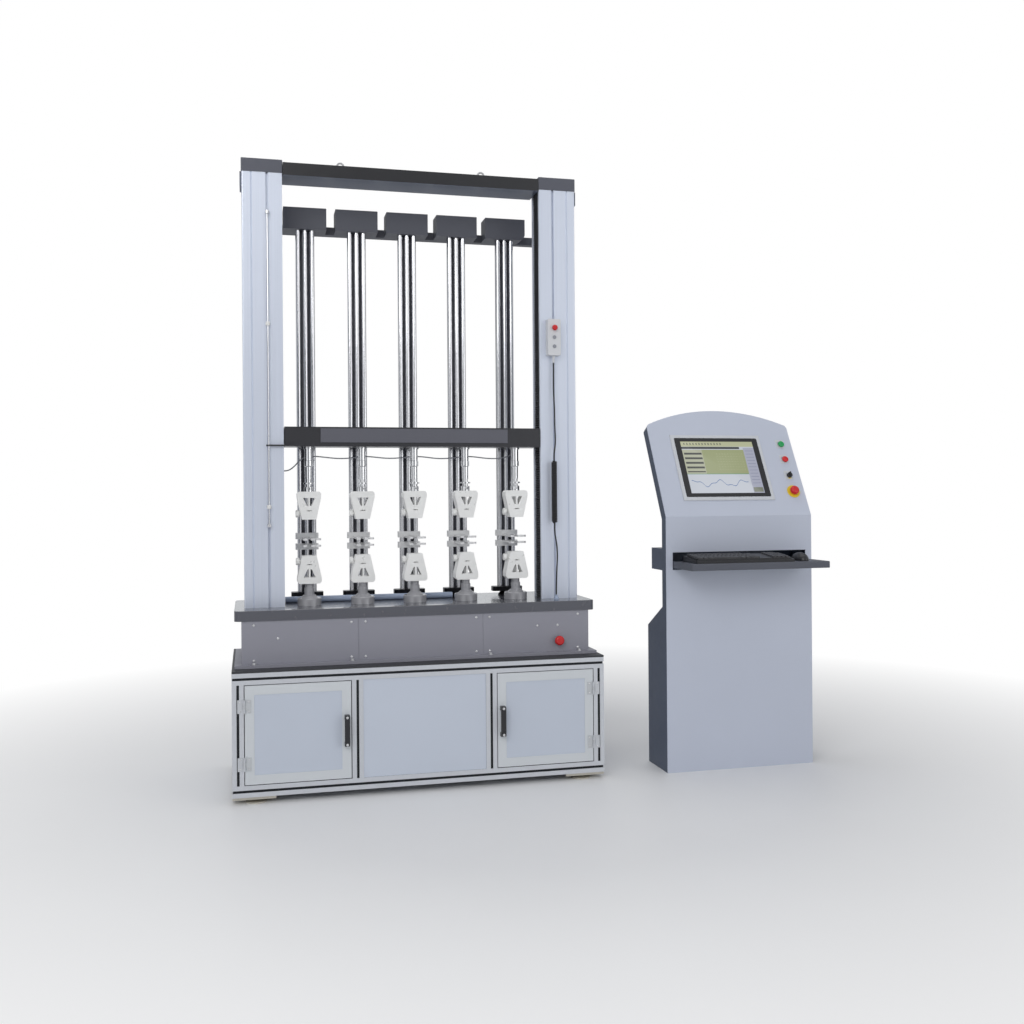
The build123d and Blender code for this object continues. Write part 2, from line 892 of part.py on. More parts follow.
belts = [
    belt(-screw_x, main_pulley_radius, screw_x, main_pulley_radius, main_pulley_z),
    belt(reducer_x, motor_pulley_radius, screw_x, drive_pulley_radius, drive_pulley_z),
]
save("drive_unit", *drive_motor(), motor_wheel, motor_shaft, *belts)


# Crosshead with the tongues that reach the screws and guides


def crosshead():
    x = (-crosshead_half_length, crosshead_half_length)
    y = (crosshead_front, crosshead_front + crosshead_depth)
    beam = block(x, y, (crosshead_bottom, crosshead_top))
    for left, right in zip(stations[:-1], stations[1:]):
        middle = (left + right) / 2
        pocket_x = (middle - pocket_half_width, middle + pocket_half_width)
        pocket_z = (crosshead_bottom + pocket_flange, crosshead_top - pocket_flange)
        beam -= block(pocket_x, (y[0] + pocket_front_wall, y[1] + 1), pocket_z)
    tongue = block(
        (crosshead_half_length - 1, tongue_reach),
        (load_plane_y - tongue_half_width, load_plane_y + tongue_half_width),
        (tongue_bottom, tongue_bottom + tongue_height),
    )
    z = (tongue_bottom, tongue_bottom + tongue_height)
    tongue -= post(guide_x, load_plane_y, z, bushing_radius)
    tongue -= post(screw_x, load_plane_y, z, nut_radius)
    return beam + tongue + mirrored(tongue)


def crosshead_finger():
    """The bar on the crosshead's front that meets the limit stops, forked round the rod."""
    slot_x = -(column_half_gap + column_slot_from_inner)
    fork = limit_rod_radius + 1
    y = (limit_rod_y - finger_half_depth, crosshead_front)
    z = (crosshead_bottom, crosshead_bottom + finger_height)
    bar = block((slot_x - finger_overreach, -crosshead_half_length + finger_grip), y, z)
    bar -= post(slot_x, limit_rod_y, z, fork)
    mouth_x = (slot_x - finger_overreach - 1, slot_x)
    return bar - block(mouth_x, (limit_rod_y - fork, limit_rod_y + fork), z)


cover = block(
    (-crosshead_cover_half, crosshead_cover_half),
    (crosshead_front - crosshead_cover_thickness, crosshead_front),
    (crosshead_bottom + cover_low_margin, crosshead_top - cover_high_margin),
)
cover = chamfer(cover.faces().sort_by(Axis.Y)[0].edges(), 1)


def ball_nut():
    z = (tongue_bottom, tongue_bottom + tongue_height)
    nut = post(screw_x, load_plane_y, z, nut_radius)
    flange_z = (tongue_bottom - nut_flange_height, tongue_bottom)
    nut += post(screw_x, load_plane_y, flange_z, nut_flange_radius)
    return nut - post(screw_x, load_plane_y, (flange_z[0], z[1]), screw_radius + running_clearance)


def guide_bushing():
    z = (tongue_bottom, tongue_bottom + tongue_height)
    bush = post(guide_x, load_plane_y, z, bushing_radius)
    return bush - post(guide_x, load_plane_y, z, guide_radius + running_clearance)


moving_fits = both_sides(ball_nut()) + both_sides(guide_bushing())
save("crosshead", crosshead(), crosshead_finger(), cover, *moving_fits)


# Bellows over the columns' open sides


def bellows(low, high):
    """A pleated strip between two Z values, folded towards the machine's middle."""
    count = round((high - low) / bellows_pitch)
    pitch = (high - low) / count
    front = column_half_gap + bellows_gap
    back = front + bellows_depth
    points = [(back, low)]
    for i in range(count):
        points.append((front + bellows_fold, low + i * pitch))
        points.append((front, low + (i + 0.5) * pitch))
    points += [(front + bellows_fold, high), (back, high)]
    profile = make_face(Polyline(*[(x, 0, z) for x, z in points], close=True))
    strip = extrude(profile, bellows_half_width, dir=(0, 1, 0), both=True)
    return Pos(0, load_plane_y, 0) * strip


upper_bellows = bellows(tongue_bottom + tongue_height + seat_clearance, beam_bottom)
lower_bellows = bellows(bed_top + seat_clearance, tongue_bottom - seat_clearance)
save("bellows_upper", *both_sides(upper_bellows))
save("bellows_lower", *both_sides(lower_bellows))


# Load cells and the adapters down to the upper grips


def load_cell(x):
    low = crosshead_bottom - cell_height
    cell = turned(x, load_plane_y, [
        (cell_radius - 2, low),
        (cell_radius, low + 2),
        (cell_radius, low + cell_height - 8),
        (cell_radius + 4, low + cell_height - 8),
        (cell_radius + 4, low + cell_height),
    ])
    z1 = low
    z2 = z1 - adapter_collar_height
    z3 = z2 - adapter_rod_height
    z4 = z3 - 14
    z5 = z4 - adapter_ring_height
    boss_top = upper_grip_top + 20
    adapter = turned(x, load_plane_y, [
        (adapter_boss_radius, upper_grip_top),
        (adapter_boss_radius, boss_top - 2),
        (adapter_boss_radius - 2, boss_top),
        (adapter_neck_radius, boss_top),
        (adapter_neck_radius, z5),
        (adapter_ring_radius, z5),
        (adapter_ring_radius, z4),
        (adapter_neck_radius, z4),
        (adapter_neck_radius, z3),
        (adapter_rod_radius, z3),
        (adapter_rod_radius, z2),
        (adapter_collar_radius, z2 + 3),
        (adapter_collar_radius, z1),
    ])
    pin = Pos(x, load_plane_y, upper_grip_top + 11) * Rot(90, 0, 0)
    pin = pin * Cylinder(adapter_pin_radius, 2 * adapter_boss_radius + 10)
    start = load_plane_y + cell_radius - 3
    length = cable_y - harness_radius - seat_clearance - start
    connector = Pos(x, start + length / 2, connector_z) * Rot(90, 0, 0)
    connector = connector * Cylinder(connector_radius, length)
    return [cell + connector, adapter + pin]


save("load_cells", *[p for x in stations for p in load_cell(x)])


# Grips. Each is drawn as an upper grip with its top at Z = 0 and its mouth at the bottom.


def prism(points, depth):
    """An outline in X and Z made as deep as asked, its middle at Y = 0."""
    face = make_face(Polyline(*[(x, 0, z) for x, z in points], close=True))
    return extrude(face, depth / 2, dir=(0, 1, 0), both=True)


def grip_half_width(above_mouth):
    """Half the body's width at a height above its mouth."""
    share = min(1.0, above_mouth / (grip_height - grip_shoulder))
    return (grip_narrow + (grip_wide - grip_narrow) * share) / 2


mouth = -grip_height
jaw_low = mouth + jaw_mouth_offset
jaw_high = jaw_low + jaw_height
spindle_z = mouth + spindle_height
fixed_jaw_back = jaw_gap / 2 + jaw_thickness
pocket_left = -(fixed_jaw_back + jaw_opening + seat_clearance)


def grip_body():
    """A body that narrows towards its mouth, with a jaw pocket and a window above it."""
    wide, narrow = grip_wide / 2, grip_narrow / 2
    body = prism([
        (-wide + 8, 0), (wide - 8, 0), (wide, -8), (wide, -grip_shoulder),
        (narrow, mouth), (-narrow, mouth), (-wide, -grip_shoulder), (-wide, -8),
    ], grip_depth)
    upright = body.edges().filter_by(Axis.Y)
    body = fillet([e for e in upright if abs(e.center().Z + grip_shoulder) < 1], 16)
    pocket_y = (-jaw_depth / 2 - seat_clearance, jaw_depth / 2 + seat_clearance)
    pocket_top = mouth + window_bottom
    body -= block((pocket_left, fixed_jaw_back), pocket_y, (mouth - 1, pocket_top))
    low, high = mouth + window_bottom, mouth + window_bottom + window_height
    bar = window_bar / 2
    for side in (-1, 1):
        outline = [(bar, low), (window_half_bottom, low), (window_half_top, high), (bar, high)]
        body -= prism([(side * x, z) for x, z in outline], grip_depth + 2)
    slot_z = mouth + window_bottom / 2 + 8
    slot = (slot_z - grip_slot_height / 2, slot_z + grip_slot_height / 2)
    body -= block((-grip_slot_width / 2, grip_slot_width / 2), (-grip_depth, 0), slot)
    bore = Cylinder(spindle_radius + running_clearance, grip_wide)
    return body - Pos(-grip_wide / 2 - jaw_gap, 0, spindle_z) * Rot(0, 90, 0) * bore


def jaw_block(side):
    """A jaw with a toothed face: side is +1 for the fixed one and -1 for the moving one."""
    face = jaw_gap / 2
    jaw = block((face, fixed_jaw_back), (-jaw_depth / 2, jaw_depth / 2), (jaw_low, jaw_high))
    for i in range(jaw_teeth):
        z = jaw_low + (i + 1) * jaw_height / (jaw_teeth + 1)
        jaw -= Pos(face, 0, z) * Rot(0, 45, 0) * Box(2, jaw_depth + 1, 2)
    return jaw if side > 0 else mirror(jaw, Plane.YZ)


def moving_jaw():
    """The left jaw on its spindle, with the round knob outside the body."""
    knob_face = -(grip_half_width(spindle_height + knob_radius) + jaw_closing + seat_clearance)
    length = -fixed_jaw_back - (knob_face - knob_length)
    spindle = Pos(-fixed_jaw_back - length / 2, 0, spindle_z) * Rot(0, 90, 0)
    spindle = spindle * Cylinder(spindle_radius, length)
    knob = Cylinder(knob_radius, knob_length)
    knob = chamfer(knob.edges(), 1.5)
    knob = Pos(knob_face - knob_length / 2, 0, spindle_z) * Rot(0, 90, 0) * knob
    return jaw_block(-1) + spindle + knob


grip, fixed_jaw, driven_jaw = grip_body(), jaw_block(1), moving_jaw()
upper_places = [Pos(x, load_plane_y, upper_grip_top) for x in stations]
lower_places = [Pos(x, load_plane_y, lower_grip_bottom) for x in stations]


def lower_copy(shape):
    return mirror(shape, Plane.XY)


save("upper_grips", *[place * s for place in upper_places for s in (grip, fixed_jaw)])
for number, place in enumerate(upper_places, 1):
    save(f"upper_jaw_{number}", place * driven_jaw)
for number, place in enumerate(lower_places, 1):
    save(f"lower_jaw_{number}", place * lower_copy(driven_jaw))


# Couplings that carry the lower grips on the bed


def lower_coupling(x):
    top = lower_grip_bottom
    base_top = bed_top + coupling_base_height
    body = turned(x, load_plane_y, [
        (coupling_base_radius, bed_top),
        (coupling_base_radius, base_top - 4),
        (coupling_base_radius - 4, base_top),
        (coupling_hub_radius, base_top),
        (coupling_fork_radius + 3, base_top + 12),
        (coupling_fork_radius, base_top + 12),
        (coupling_fork_radius, top - 20),
        (coupling_neck_radius, top - 16),
        (coupling_neck_radius, top),
    ])
    pin = Pos(x, load_plane_y, top - 30) * Rot(90, 0, 0)
    return body + pin * Cylinder(coupling_pin_radius, 2 * coupling_fork_radius + 12)


lower_pieces = [place * lower_copy(s) for place in lower_places for s in (grip, fixed_jaw)]
save("lower_grips", *lower_pieces, *[lower_coupling(x) for x in stations])


# Extensometers: three rods on a winged base, a head on top and two carriages between
rod_places = [(-rod_spacing), 0, rod_spacing]


def winged_base(x):
    wing = block(
        (x - wing_width / 2, x + wing_width / 2),
        (rod_y - wing_depth / 2, rod_y + wing_depth / 2),
        (wing_bottom, wing_bottom + wing_thickness),
    )
    wing = chamfer(wing.edges().filter_by(Axis.Z), 10)
    pedestal = turned(x, rod_y, [
        (pedestal_radius + 12, bed_top),
        (pedestal_radius + 12, bed_top + 6),
        (pedestal_radius, wing_bottom),
    ])
    return wing + pedestal


def station_rods(x):
    z = (wing_bottom + wing_thickness, head_bottom)
    return [post(x + dx, rod_y, z, rod_radius) for dx in rod_places]


rods = [r for x in stations for r in station_rods(x)]
save("extensometer_rods", *rods, *[winged_base(x) for x in stations])


def extensometer_head(x):
    half = head_width / 2
    y = (head_front, head_front + head_depth)
    head = block((x - half, x + half), y, (head_bottom, head_bottom + head_height))
    head = fillet(head.edges().group_by(Axis.Z)[-1], head_corner)
    if x == stations[-1]:
        corner = head.edges().filter_by(Axis.Y).sort_by(lambda e: e.center().X - e.center().Z)[-1]
        head = fillet(corner, last_head_corner)
    return head


def head_rail():
    """The channel behind the heads, and the bracket on each column's back that carries it."""
    y = (head_front + head_depth, head_front + head_depth + head_rail_depth)
    z = (head_bottom, head_bottom + head_rail_height)
    wall = head_rail_wall
    end = column_half_gap + column_width * 3 / 4
    rail = block((-end, end), y, z)
    rail -= block((-end - 1, end + 1), (y[0] + wall, y[1] - wall), (z[0] + wall, z[1] + 1))
    bracket_x = (end - head_bracket_width, end)
    bracket = block(bracket_x, (column_rear, y[0]), (z[0], z[0] + head_bracket_thickness))
    return [rail] + both_sides(bracket)


save("extensometer_heads", *[extensometer_head(x) for x in stations], *head_rail())


def carriage(x, arm_z, block_up):
    """A block that slides on the rods, with two arms to the specimen and a knurled clip."""
    low = arm_z if block_up else arm_z + arm_thickness - carriage_height
    body = block(
        (x - carriage_width / 2, x + carriage_width / 2),
        (rod_y - carriage_depth / 2, rod_y + carriage_depth / 2),
        (low, low + carriage_height),
    )
    body = fillet(body.edges().filter_by(Axis.Z), 6)
    for dx in (-arm_spacing / 2, arm_spacing / 2):
        body += block(
            (x + dx - arm_width / 2, x + dx + arm_width / 2),
            (arm_front_y, rod_y),
            (arm_z, arm_z + arm_thickness),
        )
    body -= block((x - 8, x + 8), (arm_front_y - 1, rod_y - 40), (arm_z - 1, arm_z + arm_thickness + 1))
    clip = Pos(x + arm_spacing / 2 + 20, load_plane_y + 12, arm_z + arm_thickness / 2)
    ring = Cylinder(clip_radius, arm_thickness) - Cylinder(clip_hole_radius, arm_thickness)
    body += clip * ring
    for dx in rod_places:
        z = (low - 1, low + carriage_height + 1)
        body -= post(x + dx, rod_y, z, rod_radius + running_clearance)
    return body


for number, x in enumerate(stations, 1):
    save(f"upper_carriage_{number}", carriage(x, upper_arm_z, True))
    save(f"lower_carriage_{number}", carriage(x, lower_arm_z, False))

# Limit rod with its two holders, and the stops that clamp on it
limit_x = -(column_half_gap + column_slot_from_inner)


def limit_rod():
    rod = post(limit_x, limit_rod_y, (limit_rod_low, limit_rod_high), limit_rod_radius)
    tall = limit_holder_height
    neck = slot_mouth / 2 - hook_clearance
    for low in (limit_rod_low, limit_rod_high - tall):
        z = (low, low + tall)
        holder = post(limit_x, limit_rod_y, z, limit_stop_radius)
        arm_y = (limit_rod_y, column_front + hook_engagement)
        arm = block((limit_x - neck, limit_x + neck), arm_y, z)
        rod += holder + arm
    return rod


def limit_stop(z):
    """A round knob on the rod, centred on a Z value."""
    high = z + limit_stop_height / 2
    low = z - limit_stop_height / 2
    knob = turned(limit_x, limit_rod_y, [
        (limit_stop_radius - 2, low),
        (limit_stop_radius, low + 2),
        (limit_stop_radius, high - 2),
        (limit_stop_radius - 2, high),
    ])
    return knob - post(limit_x, limit_rod_y, (low, high), limit_rod_radius + running_clearance)


save("limit_rod", limit_rod())
save("limit_stop_upper", limit_stop(upper_stop_z))
save("limit_stop_lower", limit_stop(lower_stop_z))


# Hand pendant, hung by a foot in the right column's slot
pendant_rear = column_front - pendant_gap
pendant_front = pendant_rear - pendant_depth
pendant_low = pendant_top - pendant_height


def pendant_body():
    x = (pendant_x - pendant_width / 2, pendant_x + pendant_width / 2)
    case = block(x, (pendant_front, pendant_rear), (pendant_low, pendant_top))
    case = fillet(case.edges().filter_by(Axis.Y), 5)
    case = fillet(case.faces().sort_by(Axis.Y)[0].edges(), 2.5)
    slot_x = column_half_gap + column_slot_from_inner
    neck = slot_mouth / 2 - hook_clearance
    hook_z = (pendant_top - hook_drop - hook_height, pendant_top - hook_drop)
    hook_y = (pendant_rear, column_front + hook_engagement)
    hook = block((slot_x - neck, slot_x + neck), hook_y, hook_z)
    relief = turned(pendant_x, (pendant_front + pendant_rear) / 2, [
        (pendant_relief_radius * 0.6, pendant_low - pendant_relief_length),
        (pendant_relief_radius, pendant_low),
    ])
    case += hook + relief
    bore = Cylinder(pendant_key_radius + running_clearance, key_bore_depth)
    for z in (pendant_stop_z, pendant_up_z, pendant_down_z):
        case -= Pos(pendant_x, pendant_front + key_bore_depth / 2, z) * Rot(90, 0, 0) * bore
    return case


save("pendant", pendant_body())

stop_lift = stop_travel + seat_clearance
small_stop = mushroom(pendant_stop_radius, small_stop_height, pendant_key_radius, stop_lift + 6)
stop_y = pendant_front - stop_lift
save("pendant_stop_button", Pos(pendant_x, stop_y, pendant_stop_z) * Rot(90, 0, 0) * small_stop)


def pendant_key(z):
    length = key_travel + seat_clearance + 8
    key = Cylinder(pendant_key_radius, length)
    key = fillet(key.edges().group_by(Axis.Z)[-1], 1.2)
    middle = pendant_front - key_travel - seat_clearance + length / 2
    return Pos(pendant_x, middle, z) * Rot(90, 0, 0) * key


save("pendant_up_button", pendant_key(pendant_up_z))
save("pendant_down_button", pendant_key(pendant_down_z))


# Cords: straight runs joined by tangent arcs as large as the runs allow


def cord_tube(name, points, radius):
    corners = [Vector(*p) for p in points]
    radii = []
    for before, at, after in zip(corners[:-2], corners[1:-1], corners[2:]):
        run = min((at - before).length, (after - at).length)
        turn = math.radians((at - before).get_angle(after - at))
        radii.append(0.45 * run / math.tan(turn / 2))
    path = FilletPolyline(*points, radius=radii)
    start = Plane(origin=path @ 0, z_dir=path % 0)
    tube = sweep(start * Circle(radius), path=path)
    least = min(radii) / (2 * radius)
    print(f"{name}: length {path.length:.0f}, least radius {least:.1f} diameters")
    return tube


pendant_mid_y = (pendant_front + pendant_rear) / 2
coil_top, coil_low = 1331.0, 1058.0
coil_x, coil_y = 592.0, 174.0
relief_end = pendant_low - pendant_relief_length
upper_route = [
    (pendant_x, pendant_mid_y, relief_end),
    (pendant_x, pendant_mid_y, 1705.0),
    (594.0, 184.0, 1650.0),
    (595.5, 182.0, 1596.0),
    (597.5, 181.0, 1540.0),
    (597.0, 179.0, 1484.0),
    (599.5, 177.5, 1430.0),
    (598.0, 175.5, 1392.0),
    (coil_x, coil_y, 1362.0),
    (coil_x, coil_y, coil_top),
]
lower_route = [
    (coil_x, coil_y, coil_low),
    (coil_x, coil_y, 1020.0),
    (600.0, 168.0, 968.0),
    (601.0, 164.0, 912.0),
    (596.0, 160.0, 860.0),
    (593.5, 157.0, 808.0),
    (592.0, 155.0, 778.0),
    (592.0, 155.0, bed_top + 20),
]
gland_x, gland_y = lower_route[-1][:2]
save(
    "pendant_cord",
    cord_tube("pendant cord above the coil", upper_route, cord_radius),
    cord_tube("pendant cord below the coil", lower_route, cord_radius),
)
coil_body = post(coil_x, coil_y, (coil_low, coil_top), coil_radius)
save("pendant_cord_sleeve", coil_body)
cord_gland = turned(gland_x, gland_y, [
    (11, bed_top),
    (11, bed_top + 8),
    (7, bed_top + 12),
    (6, bed_top + 20),
])
conduit_length = conduit_end_x - conduit_start_x
conduit_place = Pos((conduit_start_x + conduit_end_x) / 2, conduit_y, bed_top + conduit_radius)
conduit = conduit_place * Rot(0, 90, 0) * Cylinder(conduit_radius, conduit_length)
save("bed_top_plate", bed_top_plate(), cord_gland, conduit)

harness = [
    (cable_clip_x, cable_clip_y, cable_clip_z),
    (cable_clip_x, cable_clip_y, 1340.0),
    (-566.0, 344.0, 1308.0),
    (-545.0, 340.0, 1290.0),
    (-517.0, 330.0, 1292.0),
    (-494.0, 318.0, 1310.0),
    (-476.0, 308.0, 1332.0),
    (-452.0, cable_y, 1348.0),
    (-420.0, cable_y + 1, 1352.0),
    (-372.0, cable_y + 2, 1347.0),
    (-316.0, cable_y + 1, 1341.0),
    (-262.0, cable_y, 1343.0),
    (-220.0, cable_y, 1351.0),
    (-172.0, cable_y + 1, 1349.0),
    (-112.0, cable_y + 2, 1342.0),
    (-52.0, cable_y + 1, 1344.0),
    (0.0, cable_y, 1351.0),
    (50.0, cable_y + 1, 1349.0),
    (108.0, cable_y + 2, 1341.0),
    (166.0, cable_y + 1, 1343.0),
    (220.0, cable_y, 1351.0),
    (268.0, cable_y + 1, 1350.0),
    (326.0, cable_y + 2, 1342.0),
    (380.0, cable_y + 1, 1342.0),
    (418.0, cable_y, 1350.0),
    (438.0, cable_y, 1362.0),
    (448.0, cable_y - 1, 1374.0),
    (448.0, cable_y - 1, crosshead_bottom),
]
save("load_cell_cable", cord_tube("load cell cable", harness, harness_radius))


# Console: a pale folded front on a dark casing, with a keyboard shelf
lean = math.radians(head_lean)
head_plane = Plane(
    origin=(console_mid, 0, fold_z),
    x_dir=(1, 0, 0),
    z_dir=(0, -math.cos(lean), math.sin(lean)),
)
head_peak = head_side_length + head_arch_height


def head_outline(inset, base):
    """The leaning head's face on its own plane, with an arched top, starting at a slope length."""
    half = console_width / 2 - inset
    side = head_side_length - inset
    sides = Polyline((-half, side), (-half, base), (half, base), (half, side))
    top = ThreePointArc((half, side), (0, head_peak - inset), (-half, side))
    face = make_face(sides + top)
    corners = face.vertices().sort_by(Axis.Y)[-2:]
    return fillet(corners, head_corner_radius)


def on_head(x, slope_length, height):
    """A place on the head's face: an X value, a length up the slope and a height off the face."""
    return head_plane * Pos(x - console_mid, slope_length, height)


control_slopes = [start_slope, halt_slope, selector_slope, console_stop_slope]
control_hole = control_stem + control_bore_gap
monitor_x = console_mid + monitor_x_offset


def console_front_panel():
    x = (console_x, console_right)
    sheet = console_sheet
    lower = block(x, (0, sheet), (0, fold_z))
    panel = lower + extrude(head_plane * head_outline(0, 0), -sheet)
    slot = keyboard_slot_width / 2
    slot_x = (console_mid - slot, console_mid + slot)
    panel -= block(slot_x, (-1, sheet + 1), (keyboard_slot_low, keyboard_slot_high))
    opening = Box(monitor_width - 2 * monitor_frame, monitor_height - 2 * monitor_frame, 4 * sheet)
    panel -= on_head(monitor_x, monitor_slope_centre, 0) * opening
    for slope_length in control_slopes:
        panel -= on_head(panel_button_x, slope_length, 0) * Cylinder(control_hole, 4 * sheet)
    return panel


def casing_form(inset):
    """The space behind the front panel, its walls moved in by the inset except at the front."""
    front = console_sheet
    rear = console_upper_depth - inset
    up = (math.sin(lean), math.cos(lean))
    back = (math.cos(lean), -math.sin(lean))

    def head_point(along, behind):
        return (along * up[0] + behind * back[0], fold_z + along * up[1] + behind * back[1])

    above = head_peak + console_wall
    outline = [
        (front, inset),
        head_point(front * math.tan(lean / 2), front),
        head_point(above, front),
        head_point(above, rear),
        head_point(rear * math.tan(lean / 2), rear),
        (rear, drawer_top - inset),
        (drawer_depth - inset, drawer_top - inset),
        (drawer_depth - inset, drawer_bottom + inset),
        (rear, drawer_bottom + inset),
        (rear, console_slope_high - inset),
        (console_base_depth - inset, console_slope_low - inset),
        (console_base_depth - inset, inset),
    ]
    side = inset + seat_clearance
    face = make_face(Polyline(*[(console_x + side, y, z) for y, z in outline], close=True))
    form = extrude(face, console_width - 2 * side, dir=(1, 0, 0))
    head = extrude(head_plane * head_outline(side, -head_side_length), -2 * head_side_length)
    base = block((console_x, console_right), (0, console_base_depth), (0, fold_z))
    return form & (head + base)


def casing_sheets():
    """The dark casing, welded from flat sheets that part at its corners and folds.

    It has a shallow upper part, a deep base and the shelf's box, and it is open in front.
    """
    wall = console_wall
    shell = casing_form(0) - casing_form(wall)
    y = (0, console_base_depth + head_peak)
    z = (0, fold_z + head_peak)
    left = console_x + seat_clearance
    right = console_right - seat_clearance
    sheets = [shell & block((left, left + wall), y, z), shell & block((right - wall, right), y, z)]
    between = shell & block((left + wall, right - wall), y, z)
    rear_fold = fold_z - console_upper_depth * math.tan(lean / 2)
    levels = [
        0, wall, console_slope_low, console_slope_high, drawer_bottom, drawer_bottom + wall,
        drawer_top - wall, drawer_top, rear_fold,
    ]
    for band in zip(levels[:-1], levels[1:]):
        sheets.append(between & block((left, right), y, band))
    head = between & block((left, right), y, (rear_fold, z[1]))
    back_middle = wall / 2 - console_upper_depth
    back = on_head(console_mid, 0, back_middle) * Box(console_width, 4 * head_peak, wall)
    return sheets + [head & back, head - back]


def shelf_runner():
    """A strip on the floor of the shelf's box that carries one side of the shelf."""
    left = console_mid - keyboard_slot_width / 2 + shelf_side_gap + 4
    z = (drawer_bottom + console_wall, shelf_low - seat_clearance)
    return block((left, left + runner_width), (console_sheet, drawer_depth - 6), z)


runner = shelf_runner()
other_runner = mirror(runner, Plane.YZ.offset(console_mid))
save("console_body", *casing_sheets(), runner, other_runner)


def keyboard_shelf():
    half = keyboard_slot_width / 2 - shelf_side_gap
    tray = block(
        (console_mid - half, console_mid + half),
        (-shelf_reach, shelf_rear),
        (shelf_low, shelf_low + shelf_thickness),
    )
    front_edges = tray.edges().filter_by(Axis.X).group_by(Axis.Y)[0]
    tray = fillet(front_edges, 4)
    inside = half - tray_border
    hollow = block(
        (console_mid - inside, console_mid + inside),
        (tray_front_border - shelf_reach, shelf_rear + 1),
        (shelf_low - 1, shelf_low + shelf_thickness - tray_skin),
    )
    return tray - hollow


shelf_top = shelf_low + shelf_thickness


def side_profile(points, width):
    """An outline in Y and Z made as wide as asked, its middle at X = 0."""
    face = make_face(Polyline(*[(0, y, z) for y, z in points], close=True))
    return extrude(face, width / 2, dir=(1, 0, 0), both=True)


def keyboard():
    """A wedge with the bank of keys standing on its slope."""
    deep = keyboard_depth / 2
    front, rear = keyboard_front_height, keyboard_rear_height
    ledge = deep - keyboard_ledge
    slab = [(-deep, 0), (deep, 0), (deep, rear), (ledge, rear - 1), (-deep, front)]
    bank_front, bank_rear = key_bank_margin - deep, deep - key_bank_rear
    low, high = front - 1, rear - 3
    bank = [
        (bank_front, low), (bank_rear, high),
        (bank_rear, high + key_bank_rise + 2), (bank_front, low + key_bank_rise + 2),
    ]
    keys = side_profile(bank, keyboard_width - 2 * key_bank_margin)
    return Pos(keyboard_x, keyboard_y, shelf_top) * (side_profile(slab, keyboard_width) + keys)


def mouse():
    """A low rounded body."""
    shape = Pos(0, 0, 2) * Sphere(mouse_half_width)
    shape = scale(shape, (1.0, mouse_length_ratio, mouse_height_ratio))
    reach = 2 * mouse_half_width
    shape &= block((-reach, reach), (-reach, reach), (0, reach))
    return Pos(mouse_x, mouse_y, shelf_top) * shape


save("keyboard_shelf", keyboard_shelf(), keyboard(), mouse())


def monitor():
    """A bezel over the head's opening, with a box behind it."""
    bezel = Box(monitor_width, monitor_height, monitor_proud)
    bezel = chamfer(bezel.faces().sort_by(Axis.Z)[-1].edges(), 2)
    wide, high = monitor_width - 2 * monitor_frame, monitor_height - 2 * monitor_frame
    bezel -= Pos(0, 0, monitor_proud / 2) * Box(wide, high, monitor_screen_recess)
    behind = monitor_depth - console_wall - monitor_proud - monitor_screen_recess
    box = Box(wide - 1, high - 1, behind)
    shape = Pos(0, 0, monitor_proud / 2) * bezel + Pos(0, 0, -behind / 2) * box
    return on_head(monitor_x, monitor_slope_centre, 0) * shape


save("monitor", monitor())


def button_collar(radius):
    """A round collar on the head's face."""
    high = control_collar_height
    ring = Cylinder(radius, high) - Cylinder(control_stem + running_clearance, high)
    return Pos(0, 0, high / 2) * ring


def panel_button(slope_length):
    """A push button's cap on its stem, its face off the collar by its travel."""
    top = control_collar_height + key_travel + seat_clearance
    cap = Cylinder(control_stem, top + control_insert)
    cap = fillet(cap.edges().group_by(Axis.Z)[-1], 1.5)
    return on_head(panel_button_x, slope_length, (top - control_insert) / 2) * cap


def selector():
    """A knob with a finger bar, turned about its own axis."""
    low = control_collar_height + seat_clearance
    skirt = Pos(0, 0, (low + selector_height) / 2) * Cylinder(selector_radius, selector_height - low)
    skirt = chamfer(skirt.edges().group_by(Axis.Z)[-1], 1.5)
    bar = Box(selector_bar_width, 2 * selector_radius - 1, selector_bar_height)
    bar = fillet(bar.edges().filter_by(Axis.Z), 2.5)
    stem = Cylinder(control_stem, control_insert)
    knob = skirt + Pos(0, 0, selector_height + selector_bar_height / 2 - 1) * bar
    return on_head(panel_button_x, selector_slope, 0) * (knob + Pos(0, 0, -2) * stem)


save("start_button", panel_button(start_slope))
save("halt_button", panel_button(halt_slope))
save("selector_switch", selector())
console_stop_lift = control_collar_height + stop_lift
stop_stem = stop_lift + control_insert
console_stop = mushroom(stop_head_radius, stop_head_height, control_stem, stop_stem)
place = on_head(panel_button_x, console_stop_slope, console_stop_lift)
save("console_stop_button", place * console_stop)
collars = []
for slope_length in control_slopes:
    radius = stop_plate_radius if slope_length == console_stop_slope else control_collar_radius
    collars.append(on_head(panel_button_x, slope_length, 0) * button_collar(radius))
save("console_front_panel", console_front_panel(), *collars)
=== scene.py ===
"""Looks of a five-station universal testing machine and the control console beside it."""

import math

import bmesh
import bpy
import numpy as np
from mathutils import Matrix, Vector


